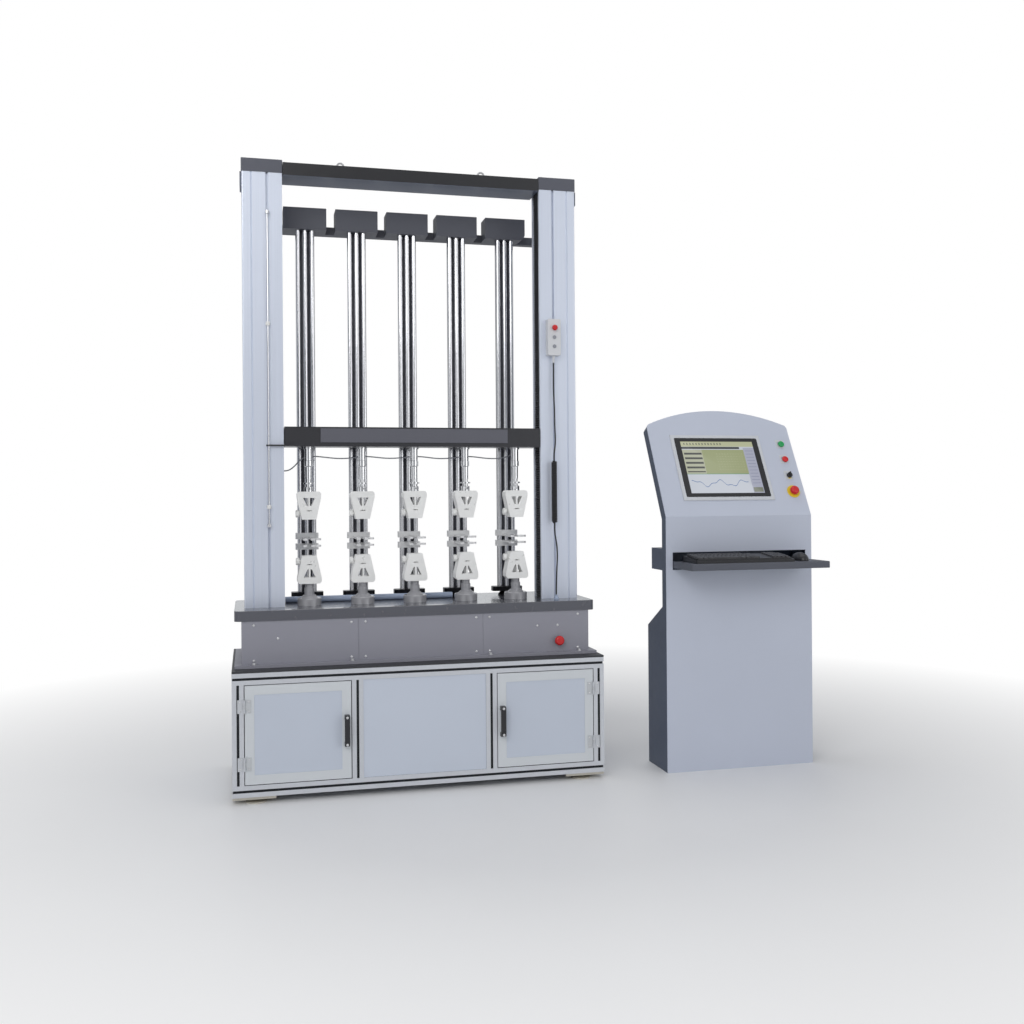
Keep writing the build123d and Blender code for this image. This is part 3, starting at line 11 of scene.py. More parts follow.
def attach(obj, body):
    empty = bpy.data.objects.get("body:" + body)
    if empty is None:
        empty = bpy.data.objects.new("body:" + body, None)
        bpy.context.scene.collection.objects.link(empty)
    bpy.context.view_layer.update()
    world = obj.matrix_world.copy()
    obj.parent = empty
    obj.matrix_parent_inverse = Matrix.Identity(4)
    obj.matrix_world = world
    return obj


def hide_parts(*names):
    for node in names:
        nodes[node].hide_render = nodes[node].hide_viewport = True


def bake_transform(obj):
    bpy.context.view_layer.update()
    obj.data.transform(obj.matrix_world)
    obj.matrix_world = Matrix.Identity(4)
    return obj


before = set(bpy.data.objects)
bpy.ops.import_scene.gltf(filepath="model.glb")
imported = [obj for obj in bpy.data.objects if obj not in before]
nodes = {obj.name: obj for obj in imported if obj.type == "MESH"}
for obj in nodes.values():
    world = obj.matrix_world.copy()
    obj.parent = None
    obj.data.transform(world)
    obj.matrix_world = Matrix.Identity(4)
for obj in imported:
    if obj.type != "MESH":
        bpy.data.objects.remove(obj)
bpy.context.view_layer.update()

# Lengths are millimetres in the machine's own layout: X = 0 on its mid-plane, Y = 0 on the
# cabinet's front and Z = 0 on the floor. The set's middle is moved to X = Y = 0.
MM = 0.001
SET_SHIFT = np.array([-481.0, -217.5, 0.0])
STATIONS = [-440.0, -220.0, 0.0, 220.0, 440.0]
LOAD_Y = 265.0
BED_TOP = 735.0
CABINET_TOP = 505.0
MAT_TOP = 513.0
BEAM_LOW = 2490.0
COLUMN_GAP = 541.0
CROSSHEAD_LOW = 1388.0
CROSSHEAD_FRONT = 200.0
BELLOWS_SEATS = (1397.7, 1458.3)
ROD_FOOT_TOP = 775.0
LOWER_COUPLING_TOP = 822.0
SHELF_TOP = 896.0
CONSOLE_MID = 1372.0
CONSOLE_FOLD = 1086.0
HEAD_LEAN = math.radians(28.7)


def at(*point):
    """A layout point in metres in the shared frame."""
    return (np.array(point) + SET_SHIFT) * MM


# Shader maths


class Wire:
    """A shader socket. Arithmetic on it adds Math nodes."""

    def __init__(self, tree, socket):
        self.tree = tree
        self.socket = socket

    def maths(self, operation, *values):
        node = self.tree.nodes.new("ShaderNodeMath")
        node.operation = operation
        for place, value in zip(node.inputs, values):
            feed(self.tree, place, value)
        return Wire(self.tree, node.outputs[0])

    def __add__(self, other):
        return self.maths("ADD", self, other)

    def __sub__(self, other):
        return self.maths("SUBTRACT", self, other)

    def __mul__(self, other):
        return self.maths("MULTIPLY", self, other)

    def __truediv__(self, other):
        return self.maths("DIVIDE", self, other)

    def __radd__(self, other):
        return self.maths("ADD", other, self)

    def __rsub__(self, other):
        return self.maths("SUBTRACT", other, self)

    def __rmul__(self, other):
        return self.maths("MULTIPLY", other, self)

    def size(self):
        return self.maths("ABSOLUTE", self)

    def sine(self):
        return self.maths("SINE", self)

    def root(self):
        return self.maths("SQRT", self)

    def fraction(self):
        return self.maths("FRACT", self)

    def above(self, level):
        """1 where the value is over the level, 0 elsewhere."""
        return self.maths("GREATER_THAN", self, level)

    def below(self, level):
        return self.maths("LESS_THAN", self, level)

    def within(self, low, high):
        return self.above(low) * self.below(high)

    def limited(self):
        return self.maths("MINIMUM", self.maths("MAXIMUM", self, 0.0), 1.0)


def feed(tree, place, value):
    """Links a wire to a socket, or sets the socket to a plain value."""
    if isinstance(value, Wire):
        tree.links.new(value.socket, place)
    else:
        place.default_value = value


def rgba(colour):
    return (*colour, 1.0)


class Finish:
    """A material under construction: its shader and the coordinates that patterns read."""

    def __init__(self, name, colour, roughness, metallic=0.0, coat=0.0, specular=0.5):
        self.material = bpy.data.materials.new(name)
        self.material.use_nodes = True
        self.tree = self.material.node_tree
        self.shader = self.tree.nodes["Principled BSDF"]
        self.set("Base Color", rgba(colour))
        self.set("Roughness", roughness)
        self.set("Metallic", metallic)
        self.set("Coat Weight", coat)
        self.set("Specular IOR Level", specular)
        self.material.diffuse_color = rgba(colour)

    def node(self, kind, settings=None, output=0, **values):
        """A node of any kind: its settings first, then the values or wires of its sockets."""
        made = self.tree.nodes.new(kind)
        for key, value in (settings or {}).items():
            setattr(made, key, value)
        for key, value in values.items():
            feed(self.tree, made.inputs[key.replace("_", " ")], value)
        return Wire(self.tree, made.outputs[output])

    def set(self, name, value):
        feed(self.tree, self.shader.inputs[name], value)

    def place(self):
        """Object coordinates, in metres."""
        return self.node("ShaderNodeTexCoord", output="Object")

    def axes(self):
        parts = self.tree.nodes.new("ShaderNodeSeparateXYZ")
        feed(self.tree, parts.inputs[0], self.place())
        return [Wire(self.tree, socket) for socket in parts.outputs]

    def stretched(self, x, y, z):
        """Object coordinates with each axis multiplied, for grain along one direction."""
        mapping = self.tree.nodes.new("ShaderNodeMapping")
        mapping.inputs["Scale"].default_value = (x, y, z)
        feed(self.tree, mapping.inputs["Vector"], self.place())
        return Wire(self.tree, mapping.outputs[0])

    def noise(self, scale, detail=3.0, where=None):
        return self.node(
            "ShaderNodeTexNoise", Vector=where or self.place(), Scale=scale, Detail=detail
        )

    def mix(self, share, first, second):
        """Two colours mixed by a share from 0 to 1."""
        made = self.tree.nodes.new("ShaderNodeMix")
        made.data_type = "RGBA"
        feed(self.tree, made.inputs["Factor"], share)
        for key, value in (("A", first), ("B", second)):
            place = [s for s in made.inputs if s.name == key and s.type == "RGBA"][0]
            feed(self.tree, place, value if isinstance(value, Wire) else rgba(value))
        socket = [s for s in made.outputs if s.type == "RGBA"][0]
        return Wire(self.tree, socket)

    def bump(self, height, strength, distance):
        """Relief from a height wire, in metres."""
        made = self.tree.nodes.new("ShaderNodeBump")
        made.inputs["Strength"].default_value = strength
        made.inputs["Distance"].default_value = distance
        feed(self.tree, made.inputs["Height"], height)
        feed(self.tree, self.shader.inputs["Normal"], Wire(self.tree, made.outputs[0]))


def shade(colour, factor):
    """A colour made darker or lighter, and no more than white."""
    return tuple(min(1.0, c * factor) for c in colour)


# Finishes


def powder_coat(name, colour, roughness=0.42, grain=2600.0, coat=0.0):
    """Baked powder paint: a fine orange-peel relief, slow drifts of tone and slight rub marks."""
    made = Finish(name, colour, roughness, coat=coat)
    drift = made.noise(3.2, 2.0)
    fine = made.noise(140.0, 2.0)
    tone = made.mix(drift, shade(colour, 0.965), shade(colour, 1.03))
    made.set("Base Color", made.mix(fine * 0.12, tone, shade(colour, 0.9)))
    made.set("Roughness", roughness + (made.noise(30.0, 4.0) - 0.5) * 0.10)
    made.bump(made.noise(grain, 1.0) * 0.6 + made.noise(420.0, 2.0) * 0.4, 0.25, 0.0004)
    return made


def anodised(name, colour, along, roughness=0.34):
    """Drawn aluminium with a clear anodised skin and fine draw lines along one direction."""
    made = Finish(name, colour, roughness, metallic=0.35, coat=0.15)
    lines = made.noise(1.0, 4.0, made.stretched(*along))
    broad = made.noise(2.4, 2.0)
    tone = made.mix(lines, shade(colour, 0.93), shade(colour, 1.04))
    made.set("Base Color", made.mix(broad * 0.25, tone, shade(colour, 0.93)))
    made.set("Roughness", roughness + (lines - 0.5) * 0.16)
    made.bump(lines, 0.12, 0.0002)
    return made


def bright_plate(name, colour=(0.83, 0.83, 0.84), roughness=0.13):
    """Nickel-plated steel, polished, with faint handling haze."""
    made = Finish(name, colour, roughness, metallic=1.0)
    haze = made.noise(38.0, 4.0)
    fine = made.noise(520.0, 2.0)
    made.set("Roughness", roughness + haze * 0.10 + (fine - 0.5) * 0.04)
    made.set("Base Color", made.mix(haze, shade(colour, 0.94), shade(colour, 1.05)))
    made.bump(fine, 0.05, 0.0001)
    return made


def satin_nickel(name, colour=(0.86, 0.86, 0.85), roughness=0.30):
    """Blasted and plated grip bodies: pale, softly shining, with a fine even tooth."""
    made = Finish(name, colour, roughness, metallic=0.2, coat=0.3)
    tooth = made.noise(1900.0, 2.0)
    cloud = made.noise(26.0, 3.0)
    made.set("Base Color", made.mix(cloud, shade(colour, 0.95), shade(colour, 1.05)))
    made.set("Roughness", roughness + (cloud - 0.5) * 0.14)
    made.bump(tooth, 0.16, 0.0002)
    return made


def moulded(name, colour, roughness=0.38, texture=1500.0, relief=0.18):
    """Moulded plastic with a spark-eroded texture."""
    made = Finish(name, colour, roughness)
    fine = made.noise(texture, 2.0)
    slow = made.noise(18.0, 2.0)
    made.set("Base Color", made.mix(slow, shade(colour, 0.95), shade(colour, 1.05)))
    made.set("Roughness", roughness + (fine - 0.5) * 0.10)
    made.bump(fine, relief, 0.0002)
    return made


def cord_jacket(name, colour, roughness=0.5):
    """Extruded cable jacket: smooth, with a little dust."""
    made = Finish(name, colour, roughness)
    dust = made.noise(60.0, 4.0)
    made.set("Base Color", made.mix(dust * 0.5, colour, shade(colour, 1.5)))
    made.set("Roughness", roughness + (dust - 0.5) * 0.2)
    made.bump(made.noise(900.0, 2.0), 0.10, 0.0002)
    return made


def coated_cloth(name, colour):
    """Rubber-coated bellows cloth: a fine weave under a dull skin."""
    made = Finish(name, colour, 0.62)
    x, y, z = made.axes()
    weave = (y * 6200.0).sine() * (z * 6200.0).sine()
    wear = made.noise(22.0, 4.0)
    made.set("Base Color", made.mix(wear, shade(colour, 0.8), shade(colour, 1.5)))
    made.set("Roughness", 0.62 + (wear - 0.5) * 0.2)
    made.bump(weave * 0.5 + wear * 0.5, 0.3, 0.0003)
    return made


def rolled_steel(name, colour, roughness, scale=260.0):
    """Bare rolled or zinc-plated steel, mottled by its making."""
    made = Finish(name, colour, roughness, metallic=0.9)
    mottled = made.noise(scale, 4.0)
    made.set("Base Color", made.mix(mottled, shade(colour, 0.86), shade(colour, 1.1)))
    made.set("Roughness", roughness + (mottled - 0.5) * 0.2)
    made.bump(mottled, 0.15, 0.0003)
    return made


def with_mask(made, mask, colour, roughness=None):
    """Repaints the part of a finish that a mask picks out."""
    shader = made.shader
    old = shader.inputs["Base Color"].links[0].from_socket
    made.set("Base Color", made.mix(mask, Wire(made.tree, old), colour))
    if roughness is not None:
        before = Wire(made.tree, shader.inputs["Roughness"].links[0].from_socket)
        made.set("Roughness", before * (1 - mask) + mask * roughness)
    return made


PALE_BLUE = (0.60, 0.65, 0.74)
ALLOY_BLUE = (0.74, 0.79, 0.90)

column_finish = anodised("column_aluminium", ALLOY_BLUE, (260.0, 260.0, 1.5))
frame_finish = anodised("cabinet_extrusion", (0.66, 0.68, 0.72), (90.0, 90.0, 90.0))
panel_finish = powder_coat("pale_panel_paint", PALE_BLUE)
door_finish = powder_coat("door_paint", (0.58, 0.63, 0.72))
console_finish = powder_coat("console_front_paint", (0.56, 0.60, 0.70), 0.44)
casing_finish = powder_coat("console_casing_paint", (0.055, 0.075, 0.12), 0.4)
bed_finish = powder_coat("bed_cover_paint", (0.30, 0.30, 0.345), 0.48)
bed_top_finish = powder_coat("bed_plate_paint", (0.10, 0.103, 0.122), 0.26, coat=0.4)
head_finish = powder_coat("head_cover_paint", (0.088, 0.092, 0.112), 0.45)
steel_finish = bright_plate("bright_steel")
grip_finish = satin_nickel("grip_plating", (0.95, 0.95, 0.93))
carriage_finish = satin_nickel("carriage_alloy", (0.80, 0.80, 0.80), 0.34)
screw_finish = rolled_steel("screw_steel", (0.55, 0.56, 0.58), 0.25)
drive_finish = powder_coat("drive_paint", (0.10, 0.13, 0.17), 0.4)
zinc_finish = rolled_steel("zinc_plate", (0.60, 0.57, 0.50), 0.42)
bolt_finish = rolled_steel("bolt_steel", (0.72, 0.72, 0.73), 0.3, 900.0)
bellows_finish = coated_cloth("bellows_cloth", (0.022, 0.022, 0.026))
white_finish = moulded("white_plastic", (0.84, 0.84, 0.82), 0.3)
red_finish = moulded("red_plastic", (0.62, 0.018, 0.02), 0.26, relief=0.06)
green_finish = moulded("green_plastic", (0.02, 0.36, 0.10), 0.26, relief=0.06)
black_plastic = moulded("black_plastic", (0.02, 0.02, 0.023), 0.42)
pendant_finish = moulded("pendant_plastic", (0.70, 0.71, 0.73), 0.4)
cord_finish = cord_jacket("cord_rubber", (0.018, 0.018, 0.02))
cable_finish = cord_jacket("cable_jacket", (0.26, 0.27, 0.30))
shelf_finish = powder_coat("shelf_paint", (0.085, 0.092, 0.115), 0.4)
silver_finish = moulded("silver_plastic", (0.62, 0.64, 0.67), 0.3)


def paint(node, made):
    """Gives a CAD node its finish."""
    slots = nodes[node].data.materials
    slots.clear()
    slots.append(made.material)


def at_z(height):
    """A layout height as the Object coordinate that the masks compare."""
    return height * MM


def at_x(x):
    return (x + SET_SHIFT[0]) * MM


def at_y(y):
    return (y + SET_SHIFT[1]) * MM


def from_middle(x):
    """Distance from the machine's mid-plane, in metres."""
    return (x - at_x(0.0)).size()


# Masks pick out, by its place, what has another colour than the rest of its node. A border lies a
# little past the face that bounds it.
BORDER = 0.5
THIN_BORDER = 0.3
COVER_BORDER = 0.2
LEAF_BORDER = 0.4

# The mat on the cabinet's panels
x, y, z = panel_finish.axes()
with_mask(panel_finish, z.above(at_z(CABINET_TOP - BORDER)), (0.035, 0.036, 0.042), 0.55)

# Painted shade in the slots of the cabinet's extrusions, and the hinge leaves in front of them
SLOT_DEPTHS = (3.2, 14.0)
SLOT_HEIGHTS = (30.0, 503.0)
SLOT_REACH = 747.8
x, y, z = frame_finish.axes()
painted_slot_shade = y.within(*map(at_y, SLOT_DEPTHS)) * from_middle(x).below(SLOT_REACH * MM)
painted_slot_shade = painted_slot_shade * z.within(*map(at_z, SLOT_HEIGHTS))
with_mask(frame_finish, painted_slot_shade, (0.03, 0.033, 0.04), 0.6)
with_mask(frame_finish, y.below(at_y(-BORDER)), (0.62, 0.64, 0.67), 0.3)

# The grey cover on the crosshead's front
COVER_RISE = 10.0
crosshead_finish = powder_coat("crosshead_paint", (0.028, 0.028, 0.033), 0.36, coat=0.2)
x, y, z = crosshead_finish.axes()
cover = y.below(at_y(CROSSHEAD_FRONT - COVER_BORDER)) * z.above(at_z(CROSSHEAD_LOW + COVER_RISE))
with_mask(crosshead_finish, cover, (0.115, 0.117, 0.14), 0.42)

# The top beam's grey ends, the bright fittings that stand on it and the bluish shade of its
# underside, painted on
BEAM_END_LAP = 2.5
FITTING_RISE = 52.5
beam_finish = powder_coat("beam_paint", (0.018, 0.018, 0.021), 0.34, coat=0.2)
x, y, z = beam_finish.axes()
outside = from_middle(x).above((COLUMN_GAP - BEAM_END_LAP) * MM)
fittings = z.above(at_z(BEAM_LOW + FITTING_RISE)) * (1 - outside)
with_mask(beam_finish, outside, (0.095, 0.10, 0.125), 0.42)
with_mask(beam_finish, fittings, (0.62, 0.62, 0.63), 0.25)
# Painted shade: the beam's underside is painted bluish grey
with_mask(beam_finish, z.below(at_z(BEAM_LOW + BORDER)), (0.13, 0.15, 0.20), 0.4)

# The pale duct on the bed's plate
x, y, z = bed_top_finish.axes()
with_mask(bed_top_finish, z.above(at_z(BED_TOP + THIN_BORDER)), (0.42, 0.50, 0.66), 0.4)

# The doors' black handles, the pale borders of their panels and their hinge leaves
HANDLE_BACK = -3.5
HANDLE_MID = 266.0
HANDLE_HALF = 62.0
HANDLE_REACH = 325.0
PANEL_REACHES = (331.5, 666.0)
PANEL_HEIGHTS = (112.0, 421.0)
LEAF_REACH = 676.0
x, y, z = door_finish.axes()
reach = from_middle(x)
handle = y.below(at_y(HANDLE_BACK)) * (z - at_z(HANDLE_MID)).size().below(HANDLE_HALF * MM)
handle = handle * reach.below(HANDLE_REACH * MM)
with_mask(door_finish, handle, (0.02, 0.02, 0.023), 0.35)
panel_low, panel_high = PANEL_REACHES
panel = reach.within(panel_low * MM, panel_high * MM) * z.within(*map(at_z, PANEL_HEIGHTS))
with_mask(door_finish, (1 - panel) * (1 - handle), (0.66, 0.69, 0.715), 0.42)
hinge = reach.above(LEAF_REACH * MM) * y.below(at_y(-LEAF_BORDER))
with_mask(door_finish, hinge, (0.56, 0.58, 0.60), 0.3)

# The black keyboard and mouse on the shelf
x, y, z = shelf_finish.axes()
with_mask(shelf_finish, z.above(at_z(SHELF_TOP + THIN_BORDER)), (0.016, 0.016, 0.019), 0.38)

# What stands out of the console head's face: a yellow ring, and bright collars above it
COLLAR_RISE = 0.4
RING_HEIGHTS = (1120.0, 1250.0)
x, y, z = console_finish.axes()
out = y * -math.cos(HEAD_LEAN) + z * math.sin(HEAD_LEAN)
face = at_z(CONSOLE_FOLD) * math.sin(HEAD_LEAN) - at_y(0.0) * math.cos(HEAD_LEAN)
proud = out.above(face + COLLAR_RISE * MM)
with_mask(console_finish, proud * z.within(*map(at_z, RING_HEIGHTS)), (0.85, 0.62, 0.03), 0.4)
with_mask(console_finish, proud * z.above(at_z(RING_HEIGHTS[1])), (0.55, 0.56, 0.58), 0.25)

# The black winged bases of the extensometer rods
rod_finish = bright_plate("rod_chrome", (0.72, 0.72, 0.74), 0.10)
x, y, z = rod_finish.axes()
with_mask(rod_finish, z.below(at_z(ROD_FOOT_TOP + BORDER)), (0.03, 0.03, 0.034), 0.35)

# The darker couplings under the lower grips
lower_finish = satin_nickel("lower_grip_plating", (0.95, 0.95, 0.93))
x, y, z = lower_finish.axes()
with_mask(lower_finish, z.below(at_z(LOWER_COUPLING_TOP)), (0.42, 0.42, 0.44), 0.22)

numbers = range(1, len(STATIONS) + 1)
for node, made in {
    "cabinet_frame": frame_finish,
    "cabinet_panels": panel_finish,
    "levelling_feet": zinc_finish,
    "door_left": door_finish,
    "door_right": door_finish,
    "bed_frame": bed_finish,
    "bed_front_covers": bed_finish,
    "bed_top_plate": bed_top_finish,
    "bed_stop_button": red_finish,
    "drive_unit": drive_finish,
    "columns": column_finish,
    "top_beam": beam_finish,
    "ball_screw_left": screw_finish,
    "ball_screw_right": screw_finish,
    "bellows_upper": bellows_finish,
    "bellows_lower": bellows_finish,
    "limit_rod": steel_finish,
    "limit_stop_upper": white_finish,
    "limit_stop_lower": white_finish,
    "crosshead": crosshead_finish,
    "load_cells": steel_finish,
    "load_cell_cable": cable_finish,
    "upper_grips": grip_finish,
    "lower_grips": lower_finish,
    "extensometer_rods": rod_finish,
    "extensometer_heads": head_finish,
    "pendant": pendant_finish,
    "pendant_cord": cord_finish,
    "pendant_cord_sleeve": cord_finish,
    "pendant_stop_button": red_finish,
    "pendant_up_button": cable_finish,
    "pendant_down_button": cable_finish,
    "console_body": casing_finish,
    "console_front_panel": console_finish,
    "monitor": silver_finish,
    "keyboard_shelf": shelf_finish,
    "start_button": green_finish,
    "halt_button": red_finish,
    "selector_switch": black_plastic,
    "console_stop_button": red_finish,
}.items():
    paint(node, made)
for number in numbers:
    for row in ("upper", "lower"):
        paint(f"{row}_jaw_{number}", grip_finish)
        paint(f"{row}_carriage_{number}", carriage_finish)


# Mesh building: every shape is a pair of arrays, points in millimetres and four-sided faces


def grid(points, wrap=False):
    """A surface through a table of points; wrap joins its last column to its first."""
    rows, columns = points.shape[:2]
    index = np.arange(rows * columns).reshape(rows, columns)
    if wrap:
        index = np.concatenate([index, index[:, :1]], axis=1)
    corners = (index[:-1, :-1], index[:-1, 1:], index[1:, 1:], index[1:, :-1])
    return points.reshape(-1, 3), np.stack([c.ravel() for c in corners], axis=1)


def turned(profile, sides=24):
    """A (radius, height) outline turned about Z."""
    outline = np.array(profile, float)
    angle = np.linspace(0, 2 * np.pi, sides, endpoint=False)
    r, z = outline[:, :1], outline[:, 1:]
    table = np.stack([r * np.cos(angle), r * np.sin(angle), z + 0 * angle], axis=2)
    return grid(table, wrap=True)


def rounded_ring(width, depth, corner, steps=5):
    """Points round a rectangle with rounded corners, in the XY plane."""
    angle = np.linspace(0, np.pi / 2, steps)
    quarter = np.stack([np.cos(angle), np.sin(angle)], axis=1) * corner
    inner = np.array([width / 2 - corner, depth / 2 - corner])
    ring = []
    for turn in range(4):
        c, s = round(math.cos(turn * math.pi / 2)), round(math.sin(turn * math.pi / 2))
        spin = np.array([[c, s], [-s, c]])
        centre = inner * [(1, 1), (-1, 1), (-1, -1), (1, -1)][turn]
        ring.append(quarter @ spin + centre)
    return np.concatenate(ring)


def rounded_block(width, depth, height, corner, edge, steps=4, foot=1.0):
    """A block standing on Z = 0, with rounded corners and a rounded top edge.

    Its rings shrink by edge * (1 - cos a) while they rise by edge * sin a.
    """
    ring = rounded_ring(width, depth, corner, steps)
    angle = np.linspace(0, np.pi / 2, steps)
    shrink = np.concatenate([[0], edge * (1 - np.cos(angle))])
    level = np.concatenate([[0], height - edge + edge * np.sin(angle)])
    share_x = 1 - 2 * shrink / width
    share_y = 1 - 2 * shrink / depth
    grow = 1 + (foot - 1) * (1 - level / height)
    x = ring[None, :, 0] * (share_x * grow)[:, None]
    y = ring[None, :, 1] * (share_y * grow)[:, None]
    z = np.repeat(level[:, None], len(ring), axis=1)
    rings = np.stack([x, y, z], axis=2)
    bottom = rings[:1] * [0, 0, 1]
    top = rings[-1:] * [0, 0, 1]
    return grid(np.concatenate([bottom, rings, top]), wrap=True)


def moved(shape, matrix):
    """A shape turned and shifted by a 4 by 4 matrix."""
    points, faces = shape
    turn = np.array(matrix)
    return points @ turn[:3, :3].T + turn[:3, 3], faces


def shifted(shape, x, y, z):
    """A shape moved along the axes, in millimetres."""
    return shape[0] + np.array([x, y, z]), shape[1]


def joined(shapes):
    """Several shapes as one pair of arrays."""
    counts = np.cumsum([0] + [len(points) for points, _ in shapes])
    points = np.concatenate([points for points, _ in shapes])
    faces = np.concatenate([faces + start for (_, faces), start in zip(shapes, counts)])
    return points, faces


def piece(name, shape, made, body, smooth=40.0, replaces=()):
    """A finished mesh at its place in the shared frame, riding on a body."""
    points, faces = shape
    mesh = bpy.data.meshes.new(name)
    mesh.from_pydata(((points + SET_SHIFT) * MM).tolist(), [], faces.tolist())
    work = bmesh.new()
    work.from_mesh(mesh)
    bmesh.ops.remove_doubles(work, verts=work.verts, dist=1e-6)
    bmesh.ops.recalc_face_normals(work, faces=work.faces)
    work.to_mesh(mesh)
    work.free()
    mesh.shade_smooth()
    mesh.set_sharp_from_angle(angle=math.radians(smooth))
    mesh.materials.append(made.material)
    made_object = bpy.data.objects.new(name, mesh)
    bpy.context.scene.collection.objects.link(made_object)
    if replaces:
        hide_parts(*replaces)
    if body:
        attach(made_object, body)
    return made_object


TO_FRONT = Matrix.Rotation(math.pi / 2, 4, "X")


def head_frame(x, slope_length, height=0.0):
    """The console head's face: X along it, Y up the slope and Z out of it."""
    tilt = Matrix.Rotation(math.pi / 2 - HEAD_LEAN, 4, "X")
    out = np.array([0, -math.cos(HEAD_LEAN), math.sin(HEAD_LEAN)]) * height
    y = slope_length * math.sin(HEAD_LEAN) + out[1]
    z = CONSOLE_FOLD + slope_length * math.cos(HEAD_LEAN) + out[2]
    return Matrix.Translation((x, y, z)) @ tilt


# Screws and bolts


def socket_screw(radius, height, key=0.45):
    """A cap screw's head with a hexagonal socket, standing on Z = 0."""
    k = radius * key
    return turned([
        (radius, 0), (radius, height * 0.8), (radius * 0.9, height),
        (k, height), (k, height * 0.35), (0, height * 0.35),
    ], 12)


def hex_bolt(radius, height):
    """A hexagon head with a chamfered top on a round washer."""
    washer = turned([(radius * 1.25, 0), (radius * 1.25, height * 0.2), (0, height * 0.2)], 20)
    head = turned([
        (radius, height * 0.2), (radius, height * 0.85), (radius * 0.85, height), (0, height),
    ], 6)
    return joined([washer, head])


def button_screw(radius, height):
    """A low domed head with a small round recess."""
    return turned([
        (radius, 0), (radius * 0.92, height * 0.55), (radius * 0.6, height),
        (radius * 0.3, height), (radius * 0.3, height * 0.5), (0, height * 0.5),
    ], 14)


def many(shape, places, turn=None):
    """Copies of one shape at each place, all turned the same way first."""
    base = moved(shape, turn) if turn is not None else shape
    return joined([shifted(base, *p) for p in places])


COVER_FRONT = 90.0
FLANGE_BOLT_Y = 73.0
FLANGE_TOP = MAT_TOP + 12
LEAF_FRONT = -2.5
LEAF_HEIGHTS = [hinge_mid + dz for hinge_mid in (156, 378) for dz in (-18, 18)]
FIXED_LEAF_X, DOOR_LEAF_X = 720, 686
CAP_TOP = 2552.0
SIDES = ((-1, "left"), (1, "right"))

cover_xs = (-666, -284, -228, 228, 284, 666)
cover_screws = [(x, COVER_FRONT, z) for x in cover_xs for z in (678, 538)]
cover_screws += [(x, COVER_FRONT, z) for x, z in ((-573, 623), (489, 635), (577, 634))]
piece("bed_cover_screws", many(button_screw(5.5, 2.6), cover_screws, TO_FRONT), bolt_finish,
      "root")

flange_bolts = [(x, FLANGE_BOLT_Y, FLANGE_TOP) for x in (-665, -283, 283, 666)]
piece("bed_flange_bolts", many(hex_bolt(8, 8), flange_bolts), bolt_finish, "root")

hinge_screw = button_screw(3.6, 1.6)
fixed_leaves = [(side * FIXED_LEAF_X, LEAF_FRONT, z) for z in LEAF_HEIGHTS for side in (-1, 1)]
piece("fixed_hinge_screws", many(hinge_screw, fixed_leaves, TO_FRONT), bolt_finish,
      "root")
for side, name in SIDES:
    door_leaves = [(side * DOOR_LEAF_X, LEAF_FRONT, z) for z in LEAF_HEIGHTS]
    piece(f"{name}_door_hinge_screws", many(hinge_screw, door_leaves, TO_FRONT), bolt_finish,
          f"{name}_door")

cap_screws = [(side * x, y, CAP_TOP) for side in (-1, 1) for x in (556, 686) for y in (220, 310)]
piece("column_cap_screws", many(socket_screw(5, 4), cap_screws), bolt_finish, "root")


# Bellows: pleats between the fixed end and the crosshead


PLEAT_CLEARANCE = 1.2
PLEAT_SWING = 3.4
PLEAT_SHARPNESS = 0.94
PLEAT_BACK = 15.0


def pleats(low, high, pitch=10.0):
    """A folded strip: its depth is a rounded zigzag of the height."""
    count = round((high - low) / pitch)
    steps = count * 6
    z = np.linspace(low, high, steps + 1)
    phase = np.linspace(0, count * 2 * np.pi, steps + 1)
    wave = np.arcsin(PLEAT_SHARPNESS * np.cos(phase)) / np.arcsin(PLEAT_SHARPNESS)
    front = COLUMN_GAP + PLEAT_CLEARANCE + PLEAT_SWING * (1 - wave)
    edge = np.array([-42.0, -40.5, 0.0, 40.5, 42.0])
    inset = np.array([5.0, 0.0, 0.0, 0.0, 5.0])
    x = front[:, None] + inset[None, :]
    face = np.stack([x, LOAD_Y + edge[None, :] + 0 * x, z[:, None] + 0 * x], axis=2)
    back = face[:, ::-1].copy()
    back[:, :, 0] = COLUMN_GAP + PLEAT_BACK
    return grid(np.concatenate([face, back], axis=1), wrap=True)


def mirrored(shape):
    """A shape on the other side of the machine's mid-plane."""
    points, faces = shape
    return points * [-1, 1, 1], faces[:, ::-1]


# Each bellows: its node, its fixed end and its end on the crosshead
for name, fixed, moving in (
    ("bellows_upper", BEAM_LOW, BELLOWS_SEATS[1]),
    ("bellows_lower", BED_TOP + 0.3, BELLOWS_SEATS[0]),
):
    one = pleats(min(fixed, moving), max(fixed, moving))
    cloth = piece(f"{name}_pleats", joined([one, mirrored(one)]), bellows_finish, None,
                  25.0, (name,))
    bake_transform(cloth)


# Cords


def cord_curve(name, route, radius, made, sides=3):
    """A round cord along one smooth line, with the route's points as its control points."""
    line = bpy.data.curves.new(name, "CURVE")
    line.dimensions = "3D"
    line.bevel_depth = radius * MM
    line.bevel_resolution = sides
    line.use_fill_caps = True
    line.resolution_u = 8
    spline = line.splines.new("NURBS")
    spline.points.add(len(route) - 1)
    for point, place in zip(spline.points, route):
        point.co = (*at(*place), 1.0)
    spline.order_u = 3
    spline.use_endpoint_u = True
    line.materials.append(made.material)
    made_object = bpy.data.objects.new(name, line)
    bpy.context.scene.collection.objects.link(made_object)
    return made_object


